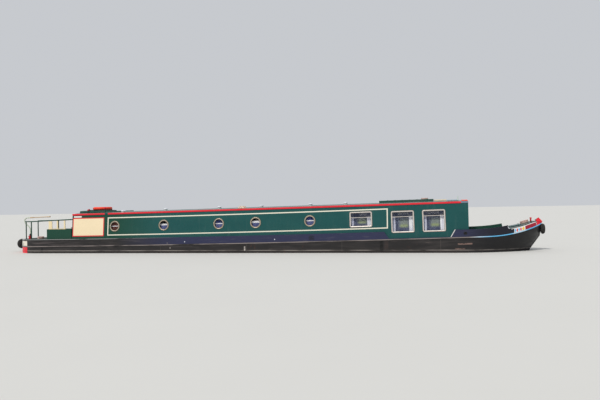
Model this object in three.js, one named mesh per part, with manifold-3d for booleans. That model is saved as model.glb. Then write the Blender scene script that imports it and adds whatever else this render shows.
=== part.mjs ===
// A sixty foot steel canal narrowboat, afloat, with a long cabin, an open stern deck and a small well deck at the bow.
// Millimetres. X runs forward, Y to port and Z up. The origin is on the waterline and the centreline, near amidships.
import * as THREE from "three";
import { mergeVertices } from "three/addons/utils/BufferGeometryUtils.js";
import Module from "manifold-3d";

const wasm = await Module();
wasm.setup();

// Driving dimensions
const BEAM = 2080;
const GAP = 0.3; // between faces that touch
const HALF = BEAM / 2;
const STERN_END = -9000;
const STARBOARD = -1;
const PORT = 1;

// Hull plating
const PLATE = 20;
const SIDE_WALL = 40; // plate, insulation and lining
const BASE_THICK = 20;
const BASE_SIDE_INSET = 25;
const UXTER_Z = -80; // flat bottom of the counter, just under water
const GUNWALE_ABOVE_STRAKE = 248;
const LOW_GUNWALE_ABOVE_STRAKE = 30;
const GUARD = { high: 40, proud: 15 };
const WATER_GUARD = { z: 36, high: 30, proud: 12 };

// Places along the boat
const COUNTER_START = -6250;
const COUNTER_CENTRE = STERN_END + 950;
const COUNTER_REACH = 950;
const CABIN_AFT = -6600;
const CABIN_FORE = 6900;
const BOW_START = 6600;
const WELL_FORE = 8070;
const SWIM_END = -8600;
const RUDDER_X = -8930;
const PROP_X = -8715;
const PROP_Z = -375;

// The stretch where the gunwale steps down under the two deep windows
const STEP = { aftTop: 4335, aftFoot: 4486, foreFoot: 6351, foreTop: 6474 };

// Cabin, as heights above the strake line
const CABIN_HALF = 961;
const TUMBLEHOME = 0.0872;
const CABIN_WALL = 50;
const CABIN_SIDE_TOP = 1040;
const ROOF_EDGE = 1085;
const HANDRAIL_TOP = 1095;
const ROOF_CAMBER = 50;
const ROOF_HALF = 845;
const PORTHOLE_ABOVE_STRAKE = 665;
const FLOOR_Z = -300;
const WELL_FLOOR_Z = 215;
const DOOR_SILL_Z = 475;

// The hull's own datum lies this far above the water
const DATUM_ABOVE_WATER = 47;

// Sheer: the long curves that every line of the boat follows
const strakeZ = (x) => 277 + 0.0165 * x + 7e-7 * x * x;
const baseZ = (x) => -575 + 0.012 * x;
const BOW_RISE_START = 7500;
const bowStrakeZ = (x) => strakeZ(x) + 1.12e-4 * Math.max(0, x - BOW_RISE_START) ** 2;
const foreEdgeZ = (x) => bowStrakeZ(x) + 158 - 0.25 * Math.max(0, x - 8850);
const bulwarkZ = (x) => strakeZ(x) + 243 + 1e-4 * Math.max(0, x - 7200) ** 2;

function gunwaleZ(x) {
  const high = GUNWALE_ABOVE_STRAKE;
  const low = LOW_GUNWALE_ABOVE_STRAKE;
  const ramp = (from, to) => THREE.MathUtils.clamp((x - from) / (to - from), 0, 1);
  const down = ramp(STEP.aftTop, STEP.aftFoot) - ramp(STEP.foreFoot, STEP.foreTop);
  return strakeZ(x) + high - (high - low) * down;
}

const bowTopZ = (x) => (x < WELL_FORE - 15 ? bulwarkZ(x) : foreEdgeZ(x));
// The roof's sheer is flatter than the hull's: it stands highest over the strake a little aft of amidships
const ROOF_CREST = { x: -1500, rise: 46, fall: 5.3e-7 };
const roofRise = (x) => ROOF_CREST.rise - ROOF_CREST.fall * (x - ROOF_CREST.x) ** 2;
const roofZ = (x) => strakeZ(x) + roofRise(x);
const roofLean = (x) => 0.0165 + 1.4e-6 * x - 2 * ROOF_CREST.fall * (x - ROOF_CREST.x);
const cabinHalfAt = (above) => CABIN_HALF - TUMBLEHOME * above;

// Solids
function solidOf(geometry) {
  const bare = geometry.index ? geometry.toNonIndexed() : geometry.clone();
  bare.deleteAttribute("normal");
  bare.deleteAttribute("uv");
  const merged = mergeVertices(bare, 1e-3);
  const triVerts = new Uint32Array(merged.index.array);
  const vertProperties = merged.attributes.position.array;
  return new wasm.Manifold(new wasm.Mesh({ numProp: 3, vertProperties, triVerts }));
}

function geometryOf(solid) {
  const mesh = solid.getMesh();
  const geometry = new THREE.BufferGeometry();
  geometry.setAttribute("position", new THREE.BufferAttribute(mesh.vertProperties, 3));
  geometry.setIndex(new THREE.BufferAttribute(mesh.triVerts, 1));
  const flat = geometry.toNonIndexed();
  flat.computeVertexNormals();
  return flat;
}

const join = (...solids) => solids.reduce((a, b) => a.add(b));
const cut = (solid, ...tools) => tools.reduce((a, b) => a.subtract(b), solid);

// A closed solid through sections, each a ring of [x, y, z] with the same number of points.
function loft(sections, loop = false) {
  const count = sections[0].length;
  const index = [];
  const quad = (a, b, c, d) => index.push(a, b, c, a, c, d);
  const spans = loop ? sections.length : sections.length - 1;
  for (let s = 0; s < spans; s++) {
    const next = (s + 1) % sections.length;
    for (let i = 0; i < count; i++) {
      const j = (i + 1) % count;
      quad(s * count + i, s * count + j, next * count + j, next * count + i);
    }
  }
  if (!loop) {
    for (const [s, turned] of [[0, true], [sections.length - 1, false]]) {
      for (const [a, b, c] of capOf(sections[s])) {
        const base = s * count;
        index.push(...(turned ? [base + c, base + b, base + a] : [base + a, base + b, base + c]));
      }
    }
  }
  const geometry = new THREE.BufferGeometry();
  geometry.setAttribute("position", new THREE.Float32BufferAttribute(sections.flat(2), 3));
  geometry.setIndex(index);
  const solid = solidOf(geometry);
  if (solid.volume() > 0) return solid;
  geometry.setIndex(index.reverse());
  return solidOf(geometry);
}

// Triangles over one section, seen along the axis that it faces most.
function capOf(ring) {
  const points = ring.map((p) => new THREE.Vector3(...p));
  const facing = new THREE.Vector3();
  points.forEach((p, i) => facing.add(p.clone().cross(points[(i + 1) % points.length])));
  const drop = ["x", "y", "z"].reduce((a, b) => (Math.abs(facing[b]) > Math.abs(facing[a]) ? b : a));
  const [u, v] = { x: ["y", "z"], y: ["z", "x"], z: ["x", "y"] }[drop];
  const flat = points.map((p) => new THREE.Vector2(p[u], p[v]));
  const faces = THREE.ShapeUtils.triangulateShape(flat, []);
  const ringTurns = THREE.ShapeUtils.isClockWise(flat);
  return faces.map((f) => (ringTurns === facesTurn(flat, f) ? f : [f[2], f[1], f[0]]));
}

const facesTurn = (flat, [a, b, c]) => THREE.ShapeUtils.isClockWise([flat[a], flat[b], flat[c]]);

function box(x0, x1, y0, y1, z0, z1) {
  const geometry = new THREE.BoxGeometry(x1 - x0, y1 - y0, z1 - z0);
  return solidOf(geometry.translate((x0 + x1) / 2, (y0 + y1) / 2, (z0 + z1) / 2));
}

// A round bar between two points.
function bar(from, to, radius, sides = 16, endRadius = radius) {
  const a = new THREE.Vector3(...from);
  const axis = new THREE.Vector3(...to).sub(a);
  const geometry = new THREE.CylinderGeometry(endRadius, radius, axis.length(), sides);
  geometry.translate(0, axis.length() / 2, 0);
  const turn = new THREE.Quaternion().setFromUnitVectors(
    new THREE.Vector3(0, 1, 0),
    axis.clone().normalize(),
  );
  return solidOf(geometry.applyQuaternion(turn).translate(a.x, a.y, a.z));
}

// A round tube along a smooth curve through points.
function tube(points, radius, steps, sides = 10) {
  const ring = new THREE.Shape().absarc(0, 0, radius, 0, 2 * Math.PI);
  const extrudePath = new THREE.CatmullRomCurve3(points.map((p) => new THREE.Vector3(...p)));
  return solidOf(
    new THREE.ExtrudeGeometry(ring, { steps, extrudePath, curveSegments: sides / 2 }),
  );
}

// A turned solid standing on Z: a profile of [radius, height] that starts and ends on the axis.
function turned(profile, sides, [x, y, z] = [0, 0, 0]) {
  const points = profile.map(([r, h]) => new THREE.Vector2(r, h));
  const geometry = new THREE.LatheGeometry(points, sides);
  return solidOf(geometry.rotateX(Math.PI / 2).translate(x, y, z));
}

// A rounded rectangle, centred, as a shape.
function roundedRect(width, height, radius) {
  const [w, h, r] = [width / 2, height / 2, radius];
  const shape = new THREE.Shape();
  shape.absarc(w - r, h - r, r, 0, Math.PI / 2);
  shape.absarc(r - w, h - r, r, Math.PI / 2, Math.PI);
  shape.absarc(r - w, r - h, r, Math.PI, 1.5 * Math.PI);
  shape.absarc(w - r, r - h, r, 1.5 * Math.PI, 2 * Math.PI);
  return shape;
}

const boat = new THREE.Group();

const PAINT = {
  hull: [0x17181c, 0.55, 0.1],
  green: [0x1d4a3c, 0.35, 0.1],
  red: [0xd3263b, 0.4, 0.1],
  cream: [0xe9dcb8, 0.5, 0],
  brass: [0xb8a98e, 0.35, 0.8],
  aluminium: [0xbfb9b0, 0.4, 0.8],
  deck: [0x2b3a35, 0.8, 0],
  wood: [0xa98a62, 0.6, 0],
  rope: [0x1c1b1a, 0.95, 0],
  cleanRope: [0xd9c7ae, 0.95, 0],
  orange: [0xe2472f, 0.5, 0],
  bronze: [0x9a7440, 0.4, 0.9],
  engine: [0x3a5a4a, 0.6, 0.3],
  floor: [0x8a6d4b, 0.7, 0],
};

function add(name, solid, paint, parent = boat) {
  const [color, roughness, metalness] = PAINT[paint];
  const material = new THREE.MeshStandardMaterial({ color, roughness, metalness });
  const mesh = new THREE.Mesh(solid.isBufferGeometry ? solid : geometryOf(solid), material);
  mesh.name = name;
  parent.add(mesh);
  return mesh;
}

const bothSides = (build) => {
  build("starboard", STARBOARD);
  build("port", PORT);
};

// Stations along the straight part of the boat, so that pieces which meet share their bends
const HULL_STATIONS = [
  COUNTER_START + GAP, -5000, -3750, -2500, -1250, 0, 1250, 2500, 3500,
  STEP.aftTop, STEP.aftFoot, 5400, STEP.foreFoot, STEP.foreTop, BOW_START - GAP,
];
const CABIN_STATIONS = [
  CABIN_AFT, -5600, -4600, -3600, -2500, -1250, 0, 1250, 2500, 3600, 4700, 5800, CABIN_FORE,
];

// The bow's form as levels: half breadth at its start, where it meets the stem, and how full it is
const BOW_LEVELS = [
  { half: HALF - BASE_SIDE_INSET, stem: 8700, power: 1.8, root: 1, z: (x) => baseZ(x) + BASE_THICK + GAP },
  { half: 1030, stem: 8775, power: 2, root: 0.85, z: () => 0 },
  { half: 1037, stem: 9070, power: 2.2, root: 0.72, z: (x) => 0.55 * bowStrakeZ(x) },
  { half: HALF, stem: 9127, power: 2.3, root: 0.667, z: bowStrakeZ },
  { half: HALF, stem: 9040, power: 2.3, root: 0.667, z: bowTopZ },
];
const BOW_STEPS = [
  0, 0.12, 0.24, 0.35, 0.45, 0.53, 0.595, 0.604, 0.67, 0.73, 0.78, 0.825, 0.865, 0.9, 0.93, 0.95, 0.97, 0.99,
];

function bowPoint(level, share, inset) {
  const stem = level.stem - 2.2 * inset;
  const x = BOW_START + (stem - BOW_START) * share;
  const half = Math.max(4, (level.half - inset) * (1 - share ** level.power) ** level.root);
  return { x, half, z: level.z(x) };
}

// The whole bow as one solid, drawn in by inset all round, with its top lifted by raise.
function bowForm(inset, raise = 0, from = 0) {
  const sections = (inset ? BOW_STEPS.slice(0, -1) : BOW_STEPS).map((share) => {
    const points = BOW_LEVELS.map((level) => bowPoint(level, share, inset));
    points[0].z += from;
    points[points.length - 1].z += raise;
    const port = points.map(({ x, half, z }) => [x, half, z]);
    const starboard = points.map(({ x, half, z }) => [x, -half, z]).reverse();
    return [...port, ...starboard];
  });
  return loft(sections);
}

// The base plate runs the whole length, narrows at both ends, and goes on aft as the skeg under the rudder.
const SKEG_END = -9010;
const SKEG_HALF = 40;
const CUP = { radius: 38, high: 45, bore: 16, pin: 15.4 };
const swimHalf = (x) => {
  const share = THREE.MathUtils.clamp((COUNTER_START - x) / (COUNTER_START - SWIM_END), 0, 1);
  return (HALF - BASE_SIDE_INSET) * Math.cos((share * Math.PI) / 2) ** 1.15;
};
const SWIM_STATIONS = [-6250, -6600, -6950, -7300, -7650, -8000, -8250, -8450];

function basePlate() {
  const bow = [0.985, 0.9, 0.8, 0.65, 0.5, 0.35, 0.2, 0].map((share) => {
    const { x, half } = bowPoint(BOW_LEVELS[0], share, 0);
    return { x, half: half + BASE_SIDE_INSET };
  });
  const stern = SWIM_STATIONS.map((x) => ({ x, half: swimHalf(x) + BASE_SIDE_INSET }));
  const skeg = [{ x: -8620, half: SKEG_HALF }, { x: SKEG_END, half: SKEG_HALF }];
  const plate = loft(
    [...bow, ...stern, ...skeg].map(({ x, half }) => {
      const [low, high] = [baseZ(x), baseZ(x) + BASE_THICK];
      return [[x, half, low], [x, half, high], [x, -half, high], [x, -half, low]];
    }),
  );
  const top = baseZ(RUDDER_X) + BASE_THICK;
  const cup = bar([RUDDER_X, 0, top - 5], [RUDDER_X, 0, top + CUP.high], CUP.radius, 20);
  const bore = bar([RUDDER_X, 0, top + 5], [RUDDER_X, 0, top + CUP.high + 5], CUP.bore, 20);
  return cut(join(plate, cup), bore);
}

// Half of a guard's outline, as [proud, z] from its foot to its head
const guardOutline = (z, { high, proud }) => [
  [0, z - high / 2],
  [proud, z - high / 4],
  [proud, z + high / 4],
  [0, z + high / 2],
];

function hullSide(side) {
  return loft(
    HULL_STATIONS.map((x) => {
      const foot = baseZ(x) + BASE_THICK + GAP;
      const strake = strakeZ(x);
      const top = gunwaleZ(x);
      const inner = cabinHalfAt(top - strake - 10) + GAP;
      const outer = [
        ...guardOutline(WATER_GUARD.z, WATER_GUARD),
        ...guardOutline(strake, GUARD),
      ].map(([proud, z]) => [HALF + proud, z]);
      const ring = [
        [HALF - BASE_SIDE_INSET, foot],
        ...outer,
        [HALF, top],
        [inner, top],
        [inner, top - 10],
        [HALF - SIDE_WALL, top - 10],
        [HALF - SIDE_WALL - BASE_SIDE_INSET, foot],
      ];
      return ring.map(([y, z]) => [x, side * y, z]);
    }),
  );
}

// The counter's plan, from its starboard start round the stern to port, as points with their outward directions
function counterPlan() {
  const straight = (side) => ({ x: COUNTER_START - GAP, y: side * HALF, out: [0, side] });
  const turns = [];
  for (let degrees = 0; degrees <= 180; degrees += 12) {
    const t = THREE.MathUtils.degToRad(degrees);
    const out = new THREE.Vector2(-Math.sin(t) / COUNTER_REACH, -Math.cos(t) / HALF).normalize();
    turns.push({
      x: COUNTER_CENTRE - COUNTER_REACH * Math.sin(t),
      y: -HALF * Math.cos(t),
      out: [out.x, out.y],
    });
  }
  return [straight(STARBOARD), ...turns, straight(PORT)];
}

const COUNTER_FLANGE = 60;
const RUDDER_TUBE = { radius: 48, bore: 31, top: 150 };
const stockFootZ = baseZ(RUDDER_X) + BASE_THICK + 8;
const sternDeckZ = (x) => gunwaleZ(x);

// A plate with the counter's plan, drawn in by inset, between two heights.
function counterFloor(inset, lowAt, highAt, fore) {
  const plan = counterPlan().map(({ x, y, out }) => [x - out[0] * inset, y - out[1] * inset]);
  const outline = plan.slice(0, (plan.length + 1) / 2).reverse();
  outline[outline.length - 1] = [fore, -(HALF - inset)];
  return loft(
    outline.map(([x, y]) => {
      const half = Math.max(2, Math.abs(y));
      return [[x, half, lowAt(x)], [x, half, highAt(x)], [x, -half, highAt(x)], [x, -half, lowAt(x)]];
    }),
  );
}

function swimWall(inset, low, high) {
  const stations = [...SWIM_STATIONS, SWIM_END];
  return loft(
    stations.map((x) => {
      const half = Math.max(inset ? 3 : 25, swimHalf(x) - inset);
      const at = inset ? Math.max(x, SWIM_END + 3 * inset) : x;
      return [[at, half, low(at)], [at, half, high], [at, -half, high], [at, -half, low(at)]];
    }).filter((ring, i, all) => i === 0 || ring[0][0] < all[i - 1][0][0]),
  );
}

function counter() {
  const wall = loft(
    counterPlan().map(({ x, y, out }) => {
      const top = gunwaleZ(x);
      const outer = [
        ...guardOutline(WATER_GUARD.z, WATER_GUARD),
        ...guardOutline(strakeZ(x), GUARD),
        [0, top - 34],
        [8, top - 28],
        [8, top],
      ];
      const ring = [
        [0, UXTER_Z],
        ...outer,
        [-COUNTER_FLANGE, top],
        [-COUNTER_FLANGE, top - 10],
        [-PLATE, top - 10],
        [-PLATE, UXTER_Z],
      ];
      return ring.map(([proud, z]) => [x + out[0] * proud, y + out[1] * proud, z]);
    }),
  );
  const uxter = counterFloor(PLATE / 2, () => UXTER_Z, () => UXTER_Z + 15, COUNTER_START - GAP);
  const well = swimWall(PLATE, () => UXTER_Z - 5, UXTER_Z + 30);
  const tubeTop = sternDeckZ(RUDDER_X) + RUDDER_TUBE.top;
  const rudderTube = bar([RUDDER_X, 0, UXTER_Z], [RUDDER_X, 0, tubeTop], RUDDER_TUBE.radius, 24);
  const bore = bar([RUDDER_X, 0, UXTER_Z - 5], [RUDDER_X, 0, tubeTop + 5], RUDDER_TUBE.bore, 24);
  return cut(join(wall, cut(uxter, well), rudderTube), bore);
}

const PROP_SHAFT = { radius: 20, bore: 20.6, tube: 42 };

function swimShell() {
  const foot = (x) => baseZ(x) + BASE_THICK + GAP;
  const outer = swimWall(0, foot, UXTER_Z - GAP);
  const inner = swimWall(PLATE, (x) => foot(x) - 5, UXTER_Z + 5);
  const sternTube = bar([SWIM_END + 320, 0, PROP_Z], [SWIM_END - 45, 0, PROP_Z], PROP_SHAFT.tube, 20);
  const bore = bar([SWIM_END + 200, 0, PROP_Z], [SWIM_END - 50, 0, PROP_Z], PROP_SHAFT.bore, 24);
  return cut(join(cut(outer, inner), sternTube), bore);
}

// The stem: the solid nose between the two bow plates, drawn out to a narrow front
const STEM = {
  depth: 45,
  proud: 18,
  frontHalf: 13,
  nose: { reach: 112, half: 24 },
  head: { high: 118, drop: 78, aft: 38, fore: 2, half: 62 },
};

function stemLine() {
  const [aft, fore] = BOW_STEPS.slice(-2);
  return BOW_LEVELS.map((level) => {
    const [a, b] = [bowPoint(level, aft, 0), bowPoint(level, fore, 0)];
    const share = (level.stem - STEM.depth - a.x) / (b.x - a.x);
    const half = THREE.MathUtils.lerp(a.half, b.half, share);
    return { back: level.stem - STEM.depth, front: level.stem + STEM.proud, half, z: b.z };
  });
}

// The stem stands above the deck's edge in a head that slopes down aft.

function stemPost() {
  const levels = stemLine();
  const top = levels[levels.length - 1];
  const { high, drop, aft, fore, half } = STEM.head;
  const head = { half, back: top.back - aft, front: top.front + fore, frontHalf: STEM.nose.half, z: top.z + high, drop };
  Object.assign(top, { front: top.front + STEM.nose.reach, frontHalf: STEM.nose.half });
  levels.push(head);
  return loft(
    levels.map(({ back, front, half, z, frontHalf = STEM.frontHalf, drop = 0 }) => [
      [back, half, z - drop], [front, frontHalf, z], [front, -frontHalf, z], [back, -half, z - drop],
    ]),
  );
}

const stem = stemPost();
const stemLevels = stemLine();
const stemClearance = loft(
  [{ ...stemLevels[0], z: -900 }, ...stemLevels, { ...stemLevels[4], z: 1300 }].map(({ back, z }) => {
    const [from, to] = [back - GAP, back + 200];
    return [[from, 200, z], [to, 200, z], [to, -200, z], [from, -200, z]];
  }),
);

// A guard along one level of the bow, from the start to the stem
function bowGuard(side, level, size, shares) {
  return loft(
    shares.map((share) => {
      const { x, half, z } = bowPoint(level, share, 0);
      const next = bowPoint(level, share + 0.005, 0);
      const along = new THREE.Vector2(next.x - x, next.half - half).normalize();
      const outline = [[-8, z - size.high / 2], ...guardOutline(z, size), [-8, z + size.high / 2]];
      return outline.map(([proud, height]) => [
        x - along.y * proud,
        side * (half + along.x * proud),
        height,
      ]);
    }),
  );
}


function bowPlate(side) {
  const shell = cut(bowForm(0), bowForm(PLATE, 60, -30));
  const reach = 9300;
  const keep =
    side === PORT
      ? box(BOW_START + GAP, reach, GAP, HALF + 50, -900, 1300)
      : box(BOW_START + GAP, reach, -HALF - 50, -GAP, -900, 1300);
  const strake = bowGuard(side, BOW_LEVELS[3], GUARD, [...BOW_STEPS.slice(0, -1), 0.985]);
  return cut(join(shell, strake).intersect(keep), stemClearance);
}

add("base_plate", basePlate(), "hull");
bothSides((name, side) => {
  add(`hull_side_${name}`, hullSide(side), "hull");
  add(`bow_plate_${name}`, bowPlate(side), "hull");
});
add("stem_post", stem, "hull");
add("counter", counter(), "hull");
add("swim_shell", swimShell(), "hull");

// Decks
const DOLLY = { x: -8560, y: 560, radius: 38, high: 120 };
const mooringPost = (x, y, z) =>
  turned(
    [[0, 0], [DOLLY.radius, 0], [DOLLY.radius * 0.8, DOLLY.high - 25], [DOLLY.radius + 10, DOLLY.high - 22],
      [DOLLY.radius + 10, DOLLY.high], [0, DOLLY.high]],
    16,
    [x, y, z],
  );
const DECK_THICK = 25;

function sternDeck() {
  const inset = COUNTER_FLANGE + GAP;
  const plate = counterFloor(inset, (x) => sternDeckZ(x) - DECK_THICK, sternDeckZ, CABIN_AFT - GAP);
  const z = sternDeckZ(RUDDER_X);
  const tubeHole = bar([RUDDER_X, 0, z - 60], [RUDDER_X, 0, z + 60], RUDDER_TUBE.radius + 0.6, 24);
  const posts = [STARBOARD, PORT].map((side) =>
    mooringPost(DOLLY.x, side * DOLLY.y, sternDeckZ(DOLLY.x) - 5),
  );
  return cut(join(plate, ...posts), tubeHole);
}

const LOCKER_HATCH = { aft: 8190, fore: 8480, half: 260 };
const LOCKER_HINGE_X = LOCKER_HATCH.aft - 40;
const FORE_CAMBER = 35;
const T_STUD = { x: 8830, radius: 24, high: 140, bar: 21, reach: 90 };

// The fore deck's top: it follows the bow's edge, a little lower, with a camber
const foreDeckZ = (x, y) => foreEdgeZ(x) - 12 + FORE_CAMBER * Math.max(0, 1 - (y / 950) ** 2);

function foreDeck() {
  const stations = [WELL_FORE, 8190, 8335, 8480, 8600, 8700, 8800, 8880, 8980];
  const across = [-950, -620, -310, 0, 310, 620, 950];
  const slab = loft(
    stations.map((x) => {
      const top = across.map((y) => [x, y, foreDeckZ(x, y)]);
      const under = across.map((y) => [x, y, foreDeckZ(x, y) - 15]).reverse();
      return [...top, ...under];
    }),
  );
  const bulkhead = box(WELL_FORE, WELL_FORE + 15, -950, 950, baseZ(WELL_FORE) + 60, foreEdgeZ(WELL_FORE) + 5);
  const inside = bowForm(PLATE + 0.5, 60, 0);
  const hatch = box(LOCKER_HATCH.aft, LOCKER_HATCH.fore, -LOCKER_HATCH.half, LOCKER_HATCH.half, 300, 1200);
  const studFoot = foreEdgeZ(T_STUD.x) + FORE_CAMBER - 30;
  const studTop = studFoot + T_STUD.high;
  const stud = join(
    bar([T_STUD.x, 0, studFoot], [T_STUD.x, 0, studTop], T_STUD.radius, 16),
    bar([T_STUD.x, -T_STUD.reach, studTop - 20], [T_STUD.x, T_STUD.reach, studTop - 20], T_STUD.bar, 12),
  );
  return join(cut(join(slab, bulkhead).intersect(inside), hatch), stud);
}

function wellDeck() {
  const plate = box(CABIN_FORE + GAP, WELL_FORE - GAP, -HALF, HALF, WELL_FLOOR_Z - 20, WELL_FLOOR_Z);
  return plate.intersect(bowForm(PLATE + 0.5, 60, 0));
}

function cabinFloor() {
  const fore = CABIN_FORE - CABIN_WALL - GAP;
  const aft = CABIN_AFT + CABIN_WALL + GAP;
  const plate = box(aft, fore, -930, 930, FLOOR_Z - 20, FLOOR_Z);
  const bearers = [-600, 0, 600].map((y) =>
    loft(
      [aft, fore].map((x) => {
        const [low, high] = [baseZ(x) + BASE_THICK + GAP, FLOOR_Z - 10];
        return [[x, y + 30, low], [x, y + 30, high], [x, y - 30, high], [x, y - 30, low]];
      }),
    ),
  );
  return join(plate, ...bearers);
}

add("stern_deck", sternDeck(), "deck");
add("fore_deck", foreDeck(), "green");
add("well_deck", wellDeck(), "deck");
add("cabin_floor", cabinFloor(), "floor");

// Windows: centre along the boat, sill and head above the strake line
const WINDOWS = [
  { x: 3601, width: 722, sill: 408, head: 910 },
  { x: 4911, width: 718, sill: 198, head: 889 },
  { x: 5866, width: 706, sill: 198, head: 889 },
];
const WINDOW_FRAME = { lap: 14, face: 42, proud: 10, corner: 55 };
const PORTHOLES = [-4956, -3127, -1150, 129, 1951];
const PORTHOLE = { flange: 190, glass: 140, proud: 12, hole: 158 };
const SIDE_LEAN = Math.atan(TUMBLEHOME);

// Where a point at a height above the strake lies on the cabin side, and how the side is turned there
function onCabinSide(side, x, above) {
  const place = new THREE.Group();
  place.position.set(x, side * cabinHalfAt(above), strakeZ(x) + above);
  const slope = Math.atan(0.0165 + 1.4e-6 * x);
  place.rotation.set(side * SIDE_LEAN, -slope, 0);
  return place;
}

// A solid drilled or fitted through the cabin side: its shape lies in X and Z, and Y runs outwards
function acrossWall(shape, depthIn, depthOut, curveSegments) {
  const geometry = new THREE.ExtrudeGeometry(shape, {
    depth: depthIn + depthOut,
    bevelEnabled: false,
    curveSegments,
  });
  return geometry.translate(0, 0, -depthIn);
}

// Turns such a solid so that its depth runs outwards on the given side
const faceOut = (geometry, side) => geometry.clone().rotateX((side * -Math.PI) / 2);

function placed(geometry, group) {
  group.updateMatrixWorld(true);
  return solidOf(geometry.clone().applyMatrix4(group.matrixWorld));
}

function cabinSide(side) {
  const wall = loft(
    CABIN_STATIONS.map((x) => {
      const z = strakeZ(x);
      const top = CABIN_SIDE_TOP + roofRise(x);
      const [low, high] = [cabinHalfAt(0), cabinHalfAt(top)];
      const ring = [[low, 0], [high, top], [high - CABIN_WALL, top], [low - CABIN_WALL, 0]];
      return ring.map(([y, above]) => [x, side * y, z + above]);
    }),
  );
  const round = faceOut(acrossWall(new THREE.Shape().absarc(0, 0, PORTHOLE.hole, 0, 2 * Math.PI), 90, 60, 8), side);
  const portholes = PORTHOLES.map((x) => placed(round, onCabinSide(side, x, PORTHOLE_ABOVE_STRAKE)));
  const windows = WINDOWS.map(({ x, width, sill, head }) => {
    const { face, lap, corner } = WINDOW_FRAME;
    const inset = face - lap;
    const shape = roundedRect(width - 2 * inset, head - sill - 2 * inset, corner - inset);
    const opening = faceOut(acrossWall(shape, 90, 60, 2), side);
    return placed(opening, onCabinSide(side, x, (sill + head) / 2));
  });
  return cut(wall, ...portholes, ...windows);
}

// A window as fitted: a flat frame that laps the wall, a tube through it, and the pane
function windowUnit({ width, sill, head }) {
  const { face, lap, proud, corner } = WINDOW_FRAME;
  const height = head - sill;
  const inset = face - lap + 2;
  const plate = acrossWall(roundedRect(width, height, corner), -GAP - 0.5, proud, 2);
  const plug = acrossWall(roundedRect(width - 2 * inset, height - 2 * inset, corner - inset), 30, 2, 2);
  const clear = [width - 2 * face, height - 2 * face];
  const outside = acrossWall(roundedRect(...clear, corner - face), -2, proud + 5, 2);
  const inside = acrossWall(roundedRect(...clear, corner - face), 40, -8, 2);
  const rail = box(-clear[0] / 2 - 2, clear[0] / 2 + 2, height * 0.25 - 10, height * 0.25 + 10, -6, proud);
  return geometryOf(
    join(cut(join(solidOf(plate), solidOf(plug)), solidOf(outside), solidOf(inside)), rail),
  );
}

function portholeUnit() {
  const { flange, glass, proud, hole } = PORTHOLE;
  const profile = [
    [0, -6], [glass, -6], [glass, -30], [hole - 3, -30], [hole - 3, GAP + 0.5], [flange, GAP + 0.5],
    [flange - 10, proud], [glass, proud], [glass, 4], [0, 4],
  ];
  return geometryOf(turned(profile, 16));
}

const portholeShape = portholeUnit();
bothSides((name, side) => {
  add(`cabin_side_${name}`, cabinSide(side), "green");
  PORTHOLES.forEach((x, i) => {
    const place = onCabinSide(side, x, PORTHOLE_ABOVE_STRAKE);
    boat.add(place);
    const unit = add(`porthole_${name}_${i + 1}`, portholeShape, "brass", place);
    unit.rotation.x = (side * -Math.PI) / 2;
  });
  WINDOWS.forEach((window, i) => {
    const place = onCabinSide(side, window.x, (window.sill + window.head) / 2);
    boat.add(place);
    const unit = add(`window_${name}_${i + 1}`, windowUnit(window), "aluminium", place);
    unit.rotation.x = (side * -Math.PI) / 2;
    if (side === PORT) unit.rotation.z = Math.PI;
  });
});

// Roof
const HATCH = { aft: CABIN_AFT, length: 1000, half: 410, opening: 330, openingFore: -5690, travel: 640 };
const RUNNER = { inner: 352, outer: 382, fore: -4900, high: 1160 };
const HATCH_MID = -5700;
const runnerZ = (x) => roofZ(HATCH_MID) + roofLean(HATCH_MID) * (x - HATCH_MID);
const roofTop = (y) => ROOF_EDGE + ROOF_CAMBER * (1 - (y / ROOF_HALF) ** 2);
const ROOF_ACROSS = [-1, -0.75, -0.5, -0.25, 0, 0.25, 0.5, 0.75, 1].map((share) => share * ROOF_HALF);
const VENTS = [
  { x: -4785, y: -600 }, { x: -3455, y: 0 }, { x: -1433, y: 0 },
  { x: 90, y: 0 }, { x: 1810, y: 0 }, { x: 3002, y: 0 },
];

function cabinRoof() {
  const slab = loft(
    CABIN_STATIONS.map((x) => {
      const top = ROOF_ACROSS.map((y) => [x, y, roofZ(x) + roofTop(y)]);
      const under = ROOF_ACROSS.map((y) => {
        const above = Math.max(CABIN_SIDE_TOP + GAP, roofTop(y) - 50);
        return [x, y, roofZ(x) + above];
      });
      return [...top, ...under.reverse()];
    }),
  );
  const opening = box(CABIN_AFT - 50, HATCH.openingFore, -HATCH.opening, HATCH.opening, 1000, 1600);
  const runners = [STARBOARD, PORT].map((side) =>
    loft(
      [CABIN_AFT + 5, RUNNER.fore].map((x) => {
        const ring = [
          [RUNNER.inner, 1100], [RUNNER.inner, RUNNER.high], [RUNNER.outer, RUNNER.high], [RUNNER.outer, 1100],
        ];
        return ring.map(([y, above]) => [x, side * y, runnerZ(x) + above]);
      }),
    ),
  );
  const vents = VENTS.map(({ x, y }) =>
    turned(
      [[0, -20], [42, -20], [42, 36], [78, 38], [78, 50], [0, 70]],
      12,
      [x, y, roofZ(x) + roofTop(y)],
    ),
  );
  const post = { x: 6630, radius: 14, high: 135 };
  const postFoot = roofZ(post.x) + ROOF_EDGE + ROOF_CAMBER;
  const lampPost = bar([post.x, 0, postFoot - 20], [post.x, 0, postFoot + post.high], post.radius, 10);
  return join(cut(slab, opening), ...runners, ...vents, lampPost);
}

function handrail(side) {
  const [inner, outer] = [ROOF_HALF + GAP, 884];
  return loft(
    CABIN_STATIONS.map((x) => {
      const ring = [
        [inner, CABIN_SIDE_TOP + GAP], [outer, CABIN_SIDE_TOP + GAP], [outer, HANDRAIL_TOP - 8],
        [outer - 8, HANDRAIL_TOP], [inner, HANDRAIL_TOP],
      ];
      return ring.map(([y, above]) => [x, side * y, roofZ(x) + above]);
    }),
  );
}

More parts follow.
